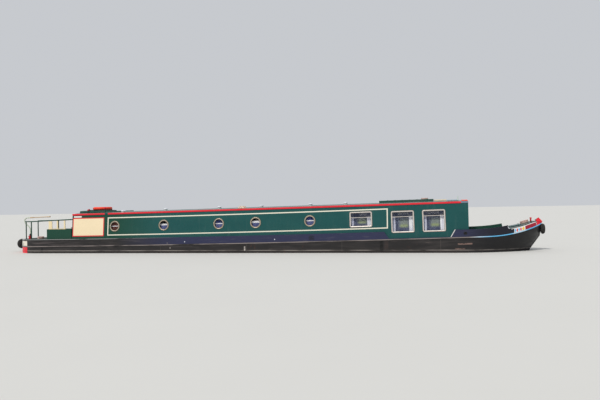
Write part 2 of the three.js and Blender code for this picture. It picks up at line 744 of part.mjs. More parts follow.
add("cabin_roof", cabinRoof(), "green");
bothSides((name, side) => add(`handrail_${name}`, handrail(side), "red"));

// Bulkheads and their doors
const AFT_DOOR = { half: 340, lap: 22 };
const FORE_DOOR = { half: 310, sill: 330, head: 1330, lap: 22 };
const DOOR_BARREL = 15;

function bulkhead(x0, x1, halfBelow) {
  return loft(
    [x0, x1].map((x) => {
      const strake = strakeZ(x);
      const top = CABIN_SIDE_TOP + roofRise(x) - 0.5;
      const ring = [
        [halfBelow, baseZ(x) + BASE_THICK + GAP],
        [halfBelow, strake - 0.5],
        [cabinHalfAt(0) - CABIN_WALL - 0.5, strake - 0.5],
        [cabinHalfAt(top) - CABIN_WALL - 0.5, strake + top],
      ];
      const port = ring.map(([y, z]) => [x, y, z]);
      return [...port, ...port.map(([, y, z]) => [x, -y, z]).reverse()];
    }),
  );
}

function aftBulkhead() {
  const wall = bulkhead(CABIN_AFT, CABIN_AFT + CABIN_WALL, 950);
  return cut(wall, box(CABIN_AFT - 50, CABIN_AFT + 100, -AFT_DOOR.half, AFT_DOOR.half, DOOR_SILL_Z, 1600));
}

function foreBulkhead() {
  const wall = bulkhead(CABIN_FORE - CABIN_WALL, CABIN_FORE, 940);
  const { half, sill, head } = FORE_DOOR;
  return cut(wall, box(CABIN_FORE - 100, CABIN_FORE + 50, -half, half, sill, head));
}

add("aft_bulkhead", aftBulkhead(), "green");
add("fore_bulkhead", foreBulkhead(), "green");

// A door leaf in its own frame: its hinge barrel is on Z, the leaf runs along -side Y, and its face looks along facing X
function doorLeaf({ width, high, side, facing, pane }) {
  const barrel = bar([0, 0, 0], [0, 0, high], DOOR_BARREL, 16);
  const [near, far] = [-side * 4, -side * width];
  const face = [-facing * 8, facing * 12].sort((a, b) => a - b);
  const leaf = box(face[0], face[1], Math.min(near, far), Math.max(near, far), 0, high);
  if (!pane) return join(barrel, leaf);
  const y = [-side * pane.margin, -side * (width - pane.margin)].sort((a, b) => a - b);
  const opening = box(-60, 60, y[0], y[1], pane.low, pane.high);
  return cut(join(barrel, leaf), opening);
}

function hang(name, { x, y, z }, leaf) {
  const place = new THREE.Group();
  place.position.set(x, y, z);
  boat.add(place);
  add(name, leaf, "green", place);
}

bothSides((name, side) => {
  const aft = { half: AFT_DOOR.half + AFT_DOOR.lap, head: runnerZ(CABIN_AFT) + RUNNER.high - 6 };
  hang(
    `aft_door_${name}`,
    { x: CABIN_AFT - DOOR_BARREL - 0.5, y: side * aft.half, z: DOOR_SILL_Z - 12 },
    doorLeaf({ width: aft.half - 3, high: aft.head - DOOR_SILL_Z + 12, side, facing: -1 }),
  );
  const fore = { half: FORE_DOOR.half + FORE_DOOR.lap, high: FORE_DOOR.head - FORE_DOOR.sill + 30 };
  hang(
    `fore_door_${name}`,
    { x: CABIN_FORE + DOOR_BARREL + 0.5, y: side * fore.half, z: FORE_DOOR.sill - 15 },
    doorLeaf({
      width: fore.half - 3,
      high: fore.high,
      side,
      facing: 1,
      pane: { margin: 75, low: fore.high * 0.52, high: fore.high - 90 },
    }),
  );
});

// The sliding hatch over the aft doors, with the lifebuoy that lies on it
function slidingHatch() {
  const top = (y) => RUNNER.high + 28 + 15 * (1 - (y / HATCH.half) ** 2);
  const across = [-1, -0.5, 0, 0.5, 1].map((share) => share * HATCH.half);
  return loft(
    [HATCH.aft + 6, HATCH.aft + HATCH.length].map((x) => {
      const upper = across.map((y) => [x, y, runnerZ(x) + top(y)]);
      const lower = [
        [HATCH.half, 1135], [RUNNER.outer + 8, 1135], [RUNNER.outer + 8, RUNNER.high + GAP],
        [-RUNNER.outer - 8, RUNNER.high + GAP], [-RUNNER.outer - 8, 1135], [-HATCH.half, 1135],
      ];
      return [...upper, ...lower.map(([y, above]) => [x, y, runnerZ(x) + above])];
    }),
  );
}

const BUOY = { x: -5935, ring: 285, radius: 55 };

function lifebuoy() {
  const profile = new THREE.Path().absarc(BUOY.ring, 0, BUOY.radius, 0, 2 * Math.PI).getPoints(4);
  const geometry = new THREE.LatheGeometry(profile, 20).rotateX(Math.PI / 2);
  const crown = runnerZ(BUOY.x + BUOY.ring) + RUNNER.high + 43;
  return solidOf(geometry.translate(BUOY.x, 0, crown + BUOY.radius + 1));
}

add("sliding_hatch", slidingHatch(), "green");
add("lifebuoy", lifebuoy(), "orange");

// Gangplank on the roof, on two bearers
const PLANK = { aft: 4130, fore: 5870, half: 150, thick: 36, bearer: 30, middle: 5000 };
const plankLean = roofLean(PLANK.middle);
const plankTopZ = (x) =>
  roofZ(PLANK.middle) + plankLean * (x - PLANK.middle) + ROOF_EDGE + ROOF_CAMBER + PLANK.bearer + PLANK.thick;

function gangplank() {
  const board = loft(
    [PLANK.aft, PLANK.fore].map((x) => {
      const [low, high] = [plankTopZ(x) - PLANK.thick, plankTopZ(x)];
      return [[x, PLANK.half, low], [x, PLANK.half, high], [x, -PLANK.half, high], [x, -PLANK.half, low]];
    }),
  );
  const bearers = [PLANK.aft + 250, PLANK.fore - 250].map((x) => {
    const seat = roofZ(x) + roofTop(0) + 1;
    return box(x - 30, x + 30, -PLANK.half, PLANK.half, seat, plankTopZ(x) - PLANK.thick + 5);
  });
  return join(board, ...bearers);
}

add("gangplank", gangplank(), "green");

// Stern seats: a locker each side with a hinged lid, and a backrest of uprights under the rail
const SEAT = { aft: -7590, fore: CABIN_AFT - 20, half: 935, inner: 545, top: 365, wall: 15, lid: 22, ledge: 70 };
const LID_BARREL = 11;
const SEAT_TOP_Z = sternDeckZ(SEAT.aft) + SEAT.top;
const LID_HINGE_Z = SEAT_TOP_Z - LID_BARREL + 2;
const LEDGE_TOP_Z = LID_HINGE_Z - 2;

function seatLocker(side) {
  const y = (value) => side * value;
  const body = (inset, low, high) =>
    loft(
      [SEAT.aft + inset, SEAT.fore - inset].map((x) => {
        const [outer, inner] = [y(SEAT.half - inset), y(SEAT.inner + inset)];
        const foot = sternDeckZ(x) + low;
        return [[x, outer, foot], [x, outer, high], [x, inner, high], [x, inner, foot]];
      }),
    );
  const shell = cut(
    body(0, 1, SEAT_TOP_Z - SEAT.lid - 4),
    body(SEAT.wall, 1 + SEAT.wall, SEAT_TOP_Z),
  );
  const ledge = [y(SEAT.half), y(SEAT.half - SEAT.ledge)].sort((a, b) => a - b);
  const back = box(SEAT.aft, SEAT.fore, ...ledge, SEAT_TOP_Z - SEAT.lid - 8, LEDGE_TOP_Z);
  return join(shell, back);
}

// In its own frame: the hinge barrel is on X, and the lid runs inboard
function seatLid(side) {
  const length = SEAT.fore - SEAT.aft;
  const reach = SEAT.half - SEAT.ledge - SEAT.inner - LID_BARREL;
  const barrel = bar([3, 0, 0], [length - 3, 0, 0], LID_BARREL, 12);
  const y = [-side * 4, -side * reach].sort((a, b) => a - b);
  return join(barrel, box(3, length - 3, y[0], y[1], -LID_BARREL + 1, LID_BARREL));
}

// The taffrail: the stern's quarter, then forward to the cabin
const RAIL = { centre: -8195, reach: 728, half: 818, radius: 19, endAngle: 65, aftPost: 65, sidePost: 8, foreY: 905 };
const railTopZ = (x) => 1075 + 0.035 * Math.max(0, x + 8300);

function railPoint(side, degrees) {
  const t = THREE.MathUtils.degToRad(degrees);
  return [
    RAIL.centre - RAIL.reach * Math.sin(t),
    side * RAIL.half * Math.cos(t),
  ];
}

function taffrail(side) {
  const quarter = [RAIL.endAngle, 50, 35, 20, 5].map((degrees) => railPoint(side, degrees));
  const forward = [[-7850, side * 860], [SEAT.aft + 40, side * RAIL.foreY], [CABIN_AFT - 1, side * RAIL.foreY]];
  const path = [...quarter, ...forward].map(([x, y]) => [x, y, railTopZ(x)]);
  const posts = [railPoint(side, RAIL.aftPost), railPoint(side, RAIL.sidePost)].map(([x, y]) =>
    bar([x, y, sternDeckZ(x) + 0.8], [x, y, railTopZ(x)], 20, 10),
  );
  return join(tube(path, RAIL.radius, 22, 8), ...posts);
}

// Uprights on the seat's back ledge: where each stands and how wide it is
const UPRIGHTS = [
  { x: -7457, width: 130 },
  { x: -7180, width: 50 },
  { x: -6895, width: 50 },
];

function backrest(side) {
  const foot = LEDGE_TOP_Z + GAP;
  const y = [side * (RAIL.foreY + 14), side * (RAIL.foreY - 14)].sort((a, b) => a - b);
  const sill = box(UPRIGHTS[0].x - 80, UPRIGHTS[2].x + 40, y[0], y[1], foot, foot + 20);
  const posts = UPRIGHTS.map(({ x, width }) =>
    box(x - width / 2, x + width / 2, y[0], y[1], foot, railTopZ(x) - RAIL.radius - 6),
  );
  return join(sill, ...posts);
}

bothSides((name, side) => {
  add(`seat_locker_${name}`, seatLocker(side), "green");
  const hinge = new THREE.Group();
  hinge.position.set(SEAT.aft, side * (SEAT.half - SEAT.ledge - LID_BARREL - 0.5), LID_HINGE_Z);
  boat.add(hinge);
  add(`seat_lid_${name}`, seatLid(side), "green", hinge);
  add(`taffrail_${name}`, taffrail(side), "green");
  add(`backrest_${name}`, backrest(side), "cream");
});

// Gas locker lid on the fore deck, hinged on its aft edge
function lockerLid() {
  const lap = 25;
  const half = LOCKER_HATCH.half + lap;
  const length = LOCKER_HATCH.fore + lap - LOCKER_HINGE_X;
  const rise = (foreEdgeZ(LOCKER_HINGE_X + length) - foreEdgeZ(LOCKER_HINGE_X)) / length;
  const across = [-1, -0.5, 0, 0.5, 1].map((share) => share * half);
  const crown = (y) => FORE_CAMBER * (1 - (y / 950) ** 2);
  const slab = loft(
    [4, length].map((x) => {
      const top = across.map((y) => [x, y, x * rise + crown(y) + 16]);
      const under = across.map((y) => [x, y, x * rise + crown(y)]).reverse();
      return [...top, ...under];
    }),
  );
  const barrelZ = crown(0) + 10;
  return join(slab, bar([0, -half, barrelZ], [0, half, barrelZ], 10, 12));
}

const lidPlace = new THREE.Group();
lidPlace.position.set(LOCKER_HINGE_X, 0, foreEdgeZ(LOCKER_HINGE_X) - 11.1);
boat.add(lidPlace);
add("gas_locker_lid", lockerLid(), "green", lidPlace);

// Rudder with its stock, blade and swan neck, then the tiller bar
const NECK = [
  [0, 690], [0, 740], [-45, 850], [-160, 950], [-235, 1045], [-232, 1140], [-165, 1192], [-60, 1204], [0, 1206],
];

function rudder() {
  const pin = bar([0, 0, stockFootZ], [0, 0, stockFootZ + 60], CUP.pin, 20);
  const stock = bar([0, 0, stockFootZ + 52], [0, 0, 745], 25, 24);
  const blade = loft(
    [[-470, 5], [-300, 12], [0, 16], [90, 14], [120, 6]].map(([x, half]) => {
      const [low, high] = [stockFootZ + 55, UXTER_Z - 25];
      return [[x, half, low], [x, half, high], [x, -half, high], [x, -half, low]];
    }),
  );
  const neck = tube(NECK.map(([x, z]) => [x, 0, z]), 21, 22, 10);
  return join(pin, stock, blade, neck);
}

const steering = new THREE.Group();
steering.position.x = RUDDER_X;
boat.add(steering);
add("rudder", rudder(), "hull", steering);
const tillerEnd = 840;
add(
  "tiller",
  join(
    bar([GAP + 0.5, 0, 1206], [120, 0, 1209], 24, 14),
    bar([100, 0, 1208], [tillerEnd - 130, 0, 1228], 17, 12),
    bar([tillerEnd - 140, 0, 1228], [tillerEnd, 0, 1231], 20, 12, 24),
  ),
  "wood",
  steering,
);

// Propeller: hub, three blades and the shaft that runs in the stern tube
function propeller() {
  const hub = bar([-35, 0, 0], [45, 0, 0], 40, 18, 34);
  const nut = bar([-62, 0, 0], [-34, 0, 0], 14, 12, 26);
  const shaft = bar([40, 0, 0], [260, 0, 0], PROP_SHAFT.radius, 24);
  const outline = [[25, 0.55], [85, 0.9], [150, 1], [200, 0.62], [218, 0.12]];
  const blades = [0, 1, 2].map((i) => {
    const blade = loft(
      outline.map(([r, share]) => {
        const chord = 78 * share;
        const pitch = Math.atan(95 / Math.max(r, 60));
        const [dx, dt] = [chord * Math.sin(pitch), chord * Math.cos(pitch)];
        const thick = 4;
        return [[dx, dt, r], [dx + thick, dt, r], [-dx + thick, -dt, r], [-dx, -dt, r]];
      }),
    );
    const geometry = geometryOf(blade).rotateX((i * 2 * Math.PI) / 3);
    return solidOf(geometry);
  });
  return join(hub, nut, shaft, ...blades);
}

const drive = new THREE.Group();
drive.position.set(PROP_X, 0, PROP_Z);
boat.add(drive);
add("propeller", propeller(), "bronze", drive);

// The engine, as one block on its bearers
function engine() {
  const [aft, fore] = [-7750, -6850];
  const block = box(aft, fore, -240, 240, -480, 140);
  const feet = [-200, 200].map((y) =>
    loft(
      [aft, fore].map((x) => {
        const low = baseZ(x) + BASE_THICK + GAP;
        return [[x, y + 30, low], [x, y + 30, -470], [x, y - 30, -470], [x, y - 30, low]];
      }),
    ),
  );
  return join(block, ...feet);
}

add("engine", engine(), "engine");

// Rope fenders at the bow and on the stern
function bowFender() {
  const pad = turned([[0, -75], [70, -75], [125, -45], [145, 0], [125, 45], [70, 75], [0, 75]], 16);
  const lying = geometryOf(pad).rotateY(Math.PI / 2).scale(0.95, 0.75, 1.15).translate(9180, 0, 620);
  const behind = loft(
    stemLine().map(({ front, z }) => {
      const [from, to] = [front - 500, front + 0.6];
      return [[from, 300, z], [to, 300, z], [to, -300, z], [from, -300, z]];
    }),
  );
  return cut(solidOf(lying), behind);
}

// Two pads deep, so that it stands clear of the rudder blade: a low wide one, then the round button
const STERN_PADS = [
  { x: -9090, thick: 1.95, wide: 1.62, high: 1.1 },
  { x: -9302, thick: 1.85, wide: 1.45, high: 1.37 },
];

function sternFender() {
  const lying = STERN_PADS.map(({ x, thick, wide, high }) => {
    const pad = turned([[0, -60], [70, -60], [120, -35], [135, 0], [120, 35], [70, 60], [0, 60]], 16);
    return solidOf(geometryOf(pad).rotateY(Math.PI / 2).scale(thick, wide, high).translate(x, 0, 237));
  });
  const plating = counterFloor(-9, () => -100, () => 800, COUNTER_START);
  const strake = strakeZ(STERN_END);
  const guard = counterFloor(-GUARD.proud - 0.6, () => strake - 25, () => strake + 25, COUNTER_START);
  return cut(join(...lying), plating, guard);
}

add("bow_fender", bowFender(), "rope");
add("stern_fender", sternFender(), "rope");

// Mooring ropes, each put away in a round coil: its mean diameter, turns across, turns high, and what it lies on
const ROPE = 14;
const COILS = [
  { name: "roof_rope", mean: 168, across: 4, high: 3, x: 5590, y: 0, seat: plankTopZ },
  { name: "bow_rope", mean: 220, across: 3, high: 5, x: 8672, y: 205, seat: foreDeckZ },
  { name: "stern_rope", mean: 190, across: 3, high: 6, x: -8190, y: -430, seat: sternDeckZ },
];
const SEAT_SLACK = 0.6; // a deck between its stations is flat, so a little over its curve

// The ring that a coil fills, standing on its foot
function coilRing(outer, inner, top) {
  const edge = 3;
  const outline = [
    [inner, edge], [inner + edge, 0], [outer - edge, 0], [outer, edge],
    [outer, top - edge], [outer - edge, top], [inner + edge, top], [inner, top - edge], [inner, edge],
  ];
  const geometry = new THREE.LatheGeometry(outline.map(([r, h]) => new THREE.Vector2(r, h)), 24);
  return solidOf(geometry.rotateX(Math.PI / 2));
}

// Where a ring comes to rest on a surface: tilted with it, and as high as its highest contact needs
function restOn(seat, x, y, radius) {
  const middle = seat(x, y);
  const slopeX = (seat(x + radius, y) - seat(x - radius, y)) / (2 * radius);
  const slopeY = (seat(x, y + radius) - seat(x, y - radius)) / (2 * radius);
  let lift = 0;
  for (let degrees = 0; degrees < 360; degrees += 15) {
    const a = THREE.MathUtils.degToRad(degrees);
    const [dx, dy] = [radius * Math.cos(a), radius * Math.sin(a)];
    lift = Math.max(lift, seat(x + dx, y + dy) - middle - slopeX * dx - slopeY * dy);
  }
  const place = new THREE.Group();
  place.position.set(x, y, middle + lift + GAP + SEAT_SLACK);
  const upright = new THREE.Vector3(-slopeX, -slopeY, 1).normalize();
  place.quaternion.setFromUnitVectors(new THREE.Vector3(0, 0, 1), upright);
  return place;
}

for (const { name, mean, across, high, x, y, seat } of COILS) {
  const [outer, inner] = [(mean + across * ROPE) / 2, (mean - across * ROPE) / 2];
  const place = restOn(seat, x, y, outer);
  boat.add(place);
  add(name, coilRing(outer, inner, high * ROPE), "cleanRope", place);
}

boat.position.z = DATUM_ABOVE_WATER;

export default boat;
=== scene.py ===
"""A canal narrowboat afloat: the finish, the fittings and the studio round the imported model."""

import math
import random
from functools import partial

import bmesh
import bpy
from mathutils import Euler, Matrix, Vector


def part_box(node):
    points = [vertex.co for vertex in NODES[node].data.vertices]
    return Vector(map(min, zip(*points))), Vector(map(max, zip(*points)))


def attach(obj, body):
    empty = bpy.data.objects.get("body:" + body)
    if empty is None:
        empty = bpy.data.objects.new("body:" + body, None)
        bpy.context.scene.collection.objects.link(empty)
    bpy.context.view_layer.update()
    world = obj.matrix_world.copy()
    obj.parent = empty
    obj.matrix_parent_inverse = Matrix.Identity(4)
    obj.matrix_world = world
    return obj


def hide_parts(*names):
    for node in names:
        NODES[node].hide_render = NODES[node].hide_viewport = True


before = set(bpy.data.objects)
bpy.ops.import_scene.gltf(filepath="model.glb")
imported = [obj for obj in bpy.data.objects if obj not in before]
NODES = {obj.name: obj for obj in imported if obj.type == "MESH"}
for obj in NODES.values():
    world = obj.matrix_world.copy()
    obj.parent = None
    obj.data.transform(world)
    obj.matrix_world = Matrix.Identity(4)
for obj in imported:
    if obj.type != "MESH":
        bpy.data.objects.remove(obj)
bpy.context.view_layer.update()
STARBOARD, PORT = -1, 1
SIDES = (("starboard", STARBOARD), ("port", PORT))

# The boat's lines, in metres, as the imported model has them
HALF = 1.04
CABIN_HALF, TUMBLEHOME = 0.961, 0.0872
ROOF_EDGE, ROOF_CAMBER, ROOF_HALF = 1.085, 0.05, 0.845
STRAKE_AMIDSHIPS, SHEER_LEAN, SHEER_BEND = 0.324, 0.0165, 0.0007
KICK, KICK_FROM = 0.112, 7.5
GUNWALE = 0.248
DATUM = 0.047
CREST, CREST_RISE, CREST_FALL = -1.5, 0.046, 0.00053
BOW_START, STRAKE_STEM, TOP_STEM = 6.6, 9.127, 9.04
BOW_POWER, BOW_ROOT = 2.3, 0.667
BOW_STEPS = [
    0, 0.12, 0.24, 0.35, 0.45, 0.53, 0.595, 0.604, 0.67, 0.73, 0.78, 0.825, 0.865, 0.9, 0.93, 0.95, 0.97, 0.99
]
BULWARK, BULWARK_RISE, BULWARK_FROM, BULWARK_END = 0.243, 0.1, 7.2, 8.055
BOW_EDGE, BOW_DIP, BOW_DIP_FROM = 0.158, 0.25, 8.85
DECK_CAMBER, DECK_HALF, DECK_BELOW = 0.035, 0.95, 0.012
RUNNER_TOP, HATCH_MID = 1.16, -5.7
HATCH_THICK, HATCH_CAMBER, HATCH_HALF = 0.028, 0.015, 0.41
PLANK_MID, PLANK_HIGH = 5, 0.066

# Windows: centre along the boat, width, sill and head over the strake
WINDOWS = ((3.601, 0.722, 0.408, 0.91), (4.911, 0.718, 0.198, 0.889), (5.866, 0.706, 0.198, 0.889))


def strake_z(x):
    return STRAKE_AMIDSHIPS + SHEER_LEAN * x + SHEER_BEND * x * x


def sheer_slope(x):
    return SHEER_LEAN + 2 * SHEER_BEND * x


def bow_strake_z(x):
    return strake_z(x) + KICK * max(0, x - KICK_FROM) ** 2


def fore_edge_z(x):
    return bow_strake_z(x) + BOW_EDGE - BOW_DIP * max(0, x - BOW_DIP_FROM)


def bow_top_z(x):
    bulwark = strake_z(x) + BULWARK + BULWARK_RISE * max(0, x - BULWARK_FROM) ** 2
    return bulwark if x < BULWARK_END else fore_edge_z(x)


def cabin_half(above):
    return CABIN_HALF - TUMBLEHOME * above


def roof_z(x):
    return strake_z(x) + CREST_RISE - CREST_FALL * (x - CREST) ** 2


def roof_on(middle, x):
    """The straight line that touches the roof's sheer at one place."""
    return roof_z(middle) + (sheer_slope(middle) - 2 * CREST_FALL * (middle - CREST)) * (x - middle)


def roof_top(x, y):
    return roof_z(x) + ROOF_EDGE + ROOF_CAMBER * (1 - (y / ROOF_HALF) ** 2)


def hatch_top(x, y):
    return roof_on(HATCH_MID, x) + RUNNER_TOP + HATCH_THICK + HATCH_CAMBER * (1 - (y / HATCH_HALF) ** 2)


def plank_top(x, y=0):
    return roof_on(PLANK_MID, x) + ROOF_EDGE + ROOF_CAMBER + PLANK_HIGH


def stern_deck_z(x, y=0):
    return strake_z(x) + GUNWALE


def fore_deck_z(x, y):
    return fore_edge_z(x) - DECK_BELOW + DECK_CAMBER * max(0, 1 - (y / DECK_HALF) ** 2)


def bow_level(share, stem, height):
    x = BOW_START + (stem - BOW_START) * share
    return Vector((x, HALF * (1 - share**BOW_POWER) ** BOW_ROOT, height(x)))


def on_bow(x, up):
    """A point on the bow's upper plating, port side: up runs from 0 at the strake to 1 at the top edge."""
    share = (x - BOW_START) / (STRAKE_STEM - BOW_START + (TOP_STEM - STRAKE_STEM) * up)
    share = min(max(share, 0), BOW_STEPS[-1] - 1e-6)
    k = max(i for i, step in enumerate(BOW_STEPS[:-1]) if step <= share)
    a, b = BOW_STEPS[k], BOW_STEPS[k + 1]
    low, high = (
        bow_level(a, stem, height).lerp(bow_level(b, stem, height), (share - a) / (b - a))
        for stem, height in ((STRAKE_STEM, bow_strake_z), (TOP_STEM, bow_top_z))
    )
    return low.lerp(high, up)


def off_bow(side, x, up, out):
    """The same, on either side, and moved outwards."""
    p = on_bow(x, up)
    along = on_bow(x + 0.01, up) - on_bow(x - 0.01, up)
    rise = on_bow(x, up + 0.05) - on_bow(x, up - 0.05)
    q = p + rise.cross(along).normalized() * out
    return Vector((q.x, side * q.y, q.z))


def add_object(name, data):
    obj = bpy.data.objects.new(name, data)
    bpy.context.scene.collection.objects.link(obj)
    return obj


# Camera, fitted to the boat's lines in the photograph; the lens and the sensor are in millimetres
EYE = (5.73288, -19.91691, 1.5105 + DATUM)
YAW, PITCH, ROLL = 0.21197, 0.00769, -0.01839
LENS = SENSOR = 36
VIEW_END = 500


def make_camera():
    ahead, across = math.cos(YAW), math.sin(YAW)
    forward = Vector((-across * math.cos(PITCH), ahead * math.cos(PITCH), math.sin(PITCH)))
    right = Vector((ahead, across, 0))
    up = right.cross(forward)
    turned = (math.cos(ROLL) * right + math.sin(ROLL) * up, math.cos(ROLL) * up - math.sin(ROLL) * right)
    data = bpy.data.cameras.new("camera")
    data.lens, data.sensor_width, data.clip_end = LENS, SENSOR, VIEW_END
    camera = add_object("camera", data)
    camera.matrix_world = Matrix.Translation(EYE) @ Matrix((*turned, -forward)).transposed().to_4x4()
    bpy.context.scene.camera = camera


make_camera()


# Materials
class Look:
    """One procedural material. Its coordinates are metres in the boat's own frame."""

    def __init__(self, name, color, rough, metal=0.0, coat=0.0):
        self.material = bpy.data.materials.new(name)
        self.material.use_nodes = True
        self.tree = self.material.node_tree
        self.tree.nodes.clear()
        self.shader = self.add("ShaderNodeBsdfPrincipled")
        out = self.add("ShaderNodeOutputMaterial")
        self.tree.links.new(self.shader.outputs[0], out.inputs["Surface"])
        self.place = self.add("ShaderNodeTexCoord").outputs["Object"]
        split = self.add("ShaderNodeSeparateXYZ", {"Vector": self.place})
        self.x, self.y, self.z = split.outputs
        self.color = (*color, 1)
        self.rough = rough
        settings = {"Metallic": metal, "Coat Weight": coat, "Coat Roughness": 0.08, "Specular IOR Level": 0.3}
        for key, value in settings.items():
            self.shader.inputs[key].default_value = value

    def add(self, kind, inputs=None, **settings):
        node = self.tree.nodes.new(kind)
        for key, value in settings.items():
            setattr(node, key, value)
        for key, value in (inputs or {}).items():
            self.feed(node.inputs[key], value)
        return node

    def feed(self, socket, value):
        if isinstance(value, bpy.types.NodeSocket):
            self.tree.links.new(value, socket)
        else:
            socket.default_value = value

    def math(self, operation, a, b=0.0):
        return self.add("ShaderNodeMath", {0: a, 1: b}, operation=operation).outputs[0]

    def both(self, a, b):
        return self.math("MULTIPLY", a, b)

    def mix(self, share, a, b):
        inputs = {"Factor": share, 6: a, 7: b}
        return self.add("ShaderNodeMix", inputs, data_type="RGBA").outputs[2]

    def noise(self, scale, stretch=(1, 1, 1), detail=4.0, rough=0.55):
        place = self.add("ShaderNodeMapping", {"Vector": self.place, "Scale": stretch}).outputs[0]
        inputs = {"Vector": place, "Scale": scale, "Detail": detail, "Roughness": rough}
        return self.add("ShaderNodeTexNoise", inputs).outputs[0]

    def step(self, value, low, high):
        """0 below low, 1 above high, or the other way round when low is the larger."""
        inputs = {"Value": value, "From Min": low, "From Max": high}
        return self.add("ShaderNodeMapRange", inputs).outputs[0]

    def spots(self, scale, low, high, stretch=(1, 1, 1), detail=4.0, rough=0.55):
        """Patches where the noise is high."""
        return self.step(self.noise(scale, stretch, detail, rough), low, high)

    def within(self, value, low, high, soft=0.002):
        return self.both(self.step(value, low - soft, low + soft), self.step(value, high + soft, high - soft))

    def above_strake(self):
        """Height over the boat's sheer line."""
        line = self.math("ADD", self.both(self.x, SHEER_LEAN), STRAKE_AMIDSHIPS)
        bend = self.both(self.both(self.x, self.x), SHEER_BEND)
        past = self.math("MAXIMUM", self.math("SUBTRACT", self.x, KICK_FROM), 0.0)
        rise = self.both(self.both(past, past), KICK)
        return self.math("SUBTRACT", self.z, self.math("ADD", self.math("ADD", line, bend), rise))

    def inward(self, axis, soft=0.3):
        """1 on faces that look towards the middle of the boat along an axis."""
        faces = self.add("ShaderNodeNewGeometry").outputs["True Normal"]
        normal = self.add("ShaderNodeSeparateXYZ", {"Vector": faces})
        place = {"X": self.x, "Y": self.y}[axis]
        facing = self.both(normal.outputs[axis], self.math("SIGN", place))
        return self.step(facing, soft + 0.01, soft)

    def patch(self, x0, x1, low, high, above, soft=0.03):
        """1 inside a soft-edged box on the side, its heights taken from the strake."""
        return self.both(self.within(self.x, x0, x1, soft), self.within(above, low, high, soft))

    def tint(self, share, color, strength=None):
        share = share if strength is None else self.both(share, strength)
        self.color = self.mix(share, self.color, (*color, 1))

    def vary(self, amount, scale, stretch=(1, 1, 1)):
        """Lightens and darkens the colour in soft patches."""
        inputs = {"Value": self.noise(scale, stretch), "To Min": 1 - amount, "To Max": 1 + amount}
        value = self.add("ShaderNodeMapRange", inputs).outputs[0]
        self.color = self.add("ShaderNodeHueSaturation", {"Value": value, "Color": self.color}).outputs[0]

    def grain(self, scale, strength, distance, stretch=(1, 1, 1), detail=5.0):
        """Fine relief, over what relief there is."""
        inputs = {"Height": self.noise(scale, stretch, detail), "Strength": strength, "Distance": distance}
        node = self.add("ShaderNodeBump", inputs)
        before = self.shader.inputs["Normal"].links
        if before:
            self.tree.links.new(before[0].from_socket, node.inputs["Normal"])
        self.tree.links.new(node.outputs[0], self.shader.inputs["Normal"])

    def roughen(self, amount, scale, stretch=(1, 1, 1)):
        inputs = {"Value": self.noise(scale, stretch), "From Min": 0.3, "From Max": 0.7}
        inputs |= {"To Min": self.rough - amount, "To Max": self.rough + amount}
        self.rough = self.add("ShaderNodeMapRange", inputs).outputs[0]

    def done(self):
        self.feed(self.shader.inputs["Base Color"], self.color)
        self.feed(self.shader.inputs["Roughness"], self.rough)
        return self.material


GREEN = (0.005, 0.07, 0.068)
NAVY = (0.02, 0.026, 0.062)
BLACK = (0.016, 0.0145, 0.015)
RED = (0.7, 0.02, 0.035)
CREAM = (0.82, 0.69, 0.43)
LIGHT_BLUE = (0.13, 0.48, 0.8)
CRIMSON = (0.33, 0.006, 0.025)
WORN_STEEL = (0.3, 0.27, 0.25)
LINING = (0.55, 0.44, 0.3)


def gloss_paint(name, color, vary=0.12):
    """Brushed enamel on steel: faint ripple, soft patches, dust that has run down."""
    look = Look(name, color, rough=0.3, coat=0.12)
    look.vary(vary, 1.3, (1, 1, 2.5))
    look.tint(look.spots(9, 0.56, 0.8, (1, 1, 0.12)), (0.35, 0.36, 0.33), 0.06)
    look.roughen(0.08, 6)
    look.grain(2.2, 0.12, 0.006)
    look.grain(90, 0.04, 0.001)
    return look


def green_look(name):
    """The cabin's green: bluer forward, deeper and yellower aft."""
    look = gloss_paint(name, GREEN)
    look.tint(look.step(look.x, -3.4, -4.9), (0.004, 0.05, 0.025), 0.85)
    bloom = look.both(look.within(look.x, -4.0, 3.4, 1.2), look.spots(0.9, 0.4, 0.7, (0.5, 1, 1.6), 3))
    look.tint(bloom, (0.03, 0.12, 0.1), 0.35)
    return look


def lined_green(name, axis):
    """Green outside, with pale lining on the faces that look inwards."""
    look = green_look(name)
    look.tint(look.inward(axis), LINING)
    return look.done()


# Marks of use on the near side: ends along the boat, heights from the strake, colour and strength
HULL_MARKS = [
    (-7.76, -7.68, -0.36, -0.02, (0.004, 0.004, 0.005), 0.8),
    (4.2, 4.3, -0.37, 0.0, (0.001, 0.001, 0.001), 0.97),
    (4.34, 4.46, -0.3, -0.05, (0.05, 0.033, 0.03), 0.6),
    (1.93, 2.12, 0.06, 0.2, (0.008, 0.01, 0.018), 0.75),
    (6.56, 6.99, -0.215, -0.175, (0.3, 0.19, 0.16), 0.75),
    (6.48, 6.78, -0.36, -0.325, (0.3, 0.19, 0.16), 0.7),
    (-0.24, -0.195, -0.24, -0.1, (0.55, 0.5, 0.47), 0.85),
    (-2.86, -2.83, -0.13, -0.08, (0.4, 0.36, 0.33), 0.7),
    (-2.96, -2.93, 0.04, 0.08, (0.3, 0.27, 0.26), 0.6),
]
SEAMS = [-3.2, -0.15, 3.0, 6.05]
WATER_GUARD = 0.083
# Where the paint changes: places along the boat, and bands of height over the strake or the water
COUNTER_LINE, WHITE_BAND, RED_BAND = -8.355, (0.024, 0.195), (-0.07, 0.215)
SLANT, SLANT_FOOT, SLANT_BAND = 0.586, 6.333, (0.03, 0.253)
# The roof's value here is no change of paint: forward of it the roof carries a painted sky reflection.
STEM_RED, DECK_RED, ROOF_SKY_REFLECTION_FROM = 8.972, 8.75, 6.62
RAIL_BREAK, RAIL_GREY_FROM = (-5.343, -5.221), 6.685
NECK_FOOT = 0.65


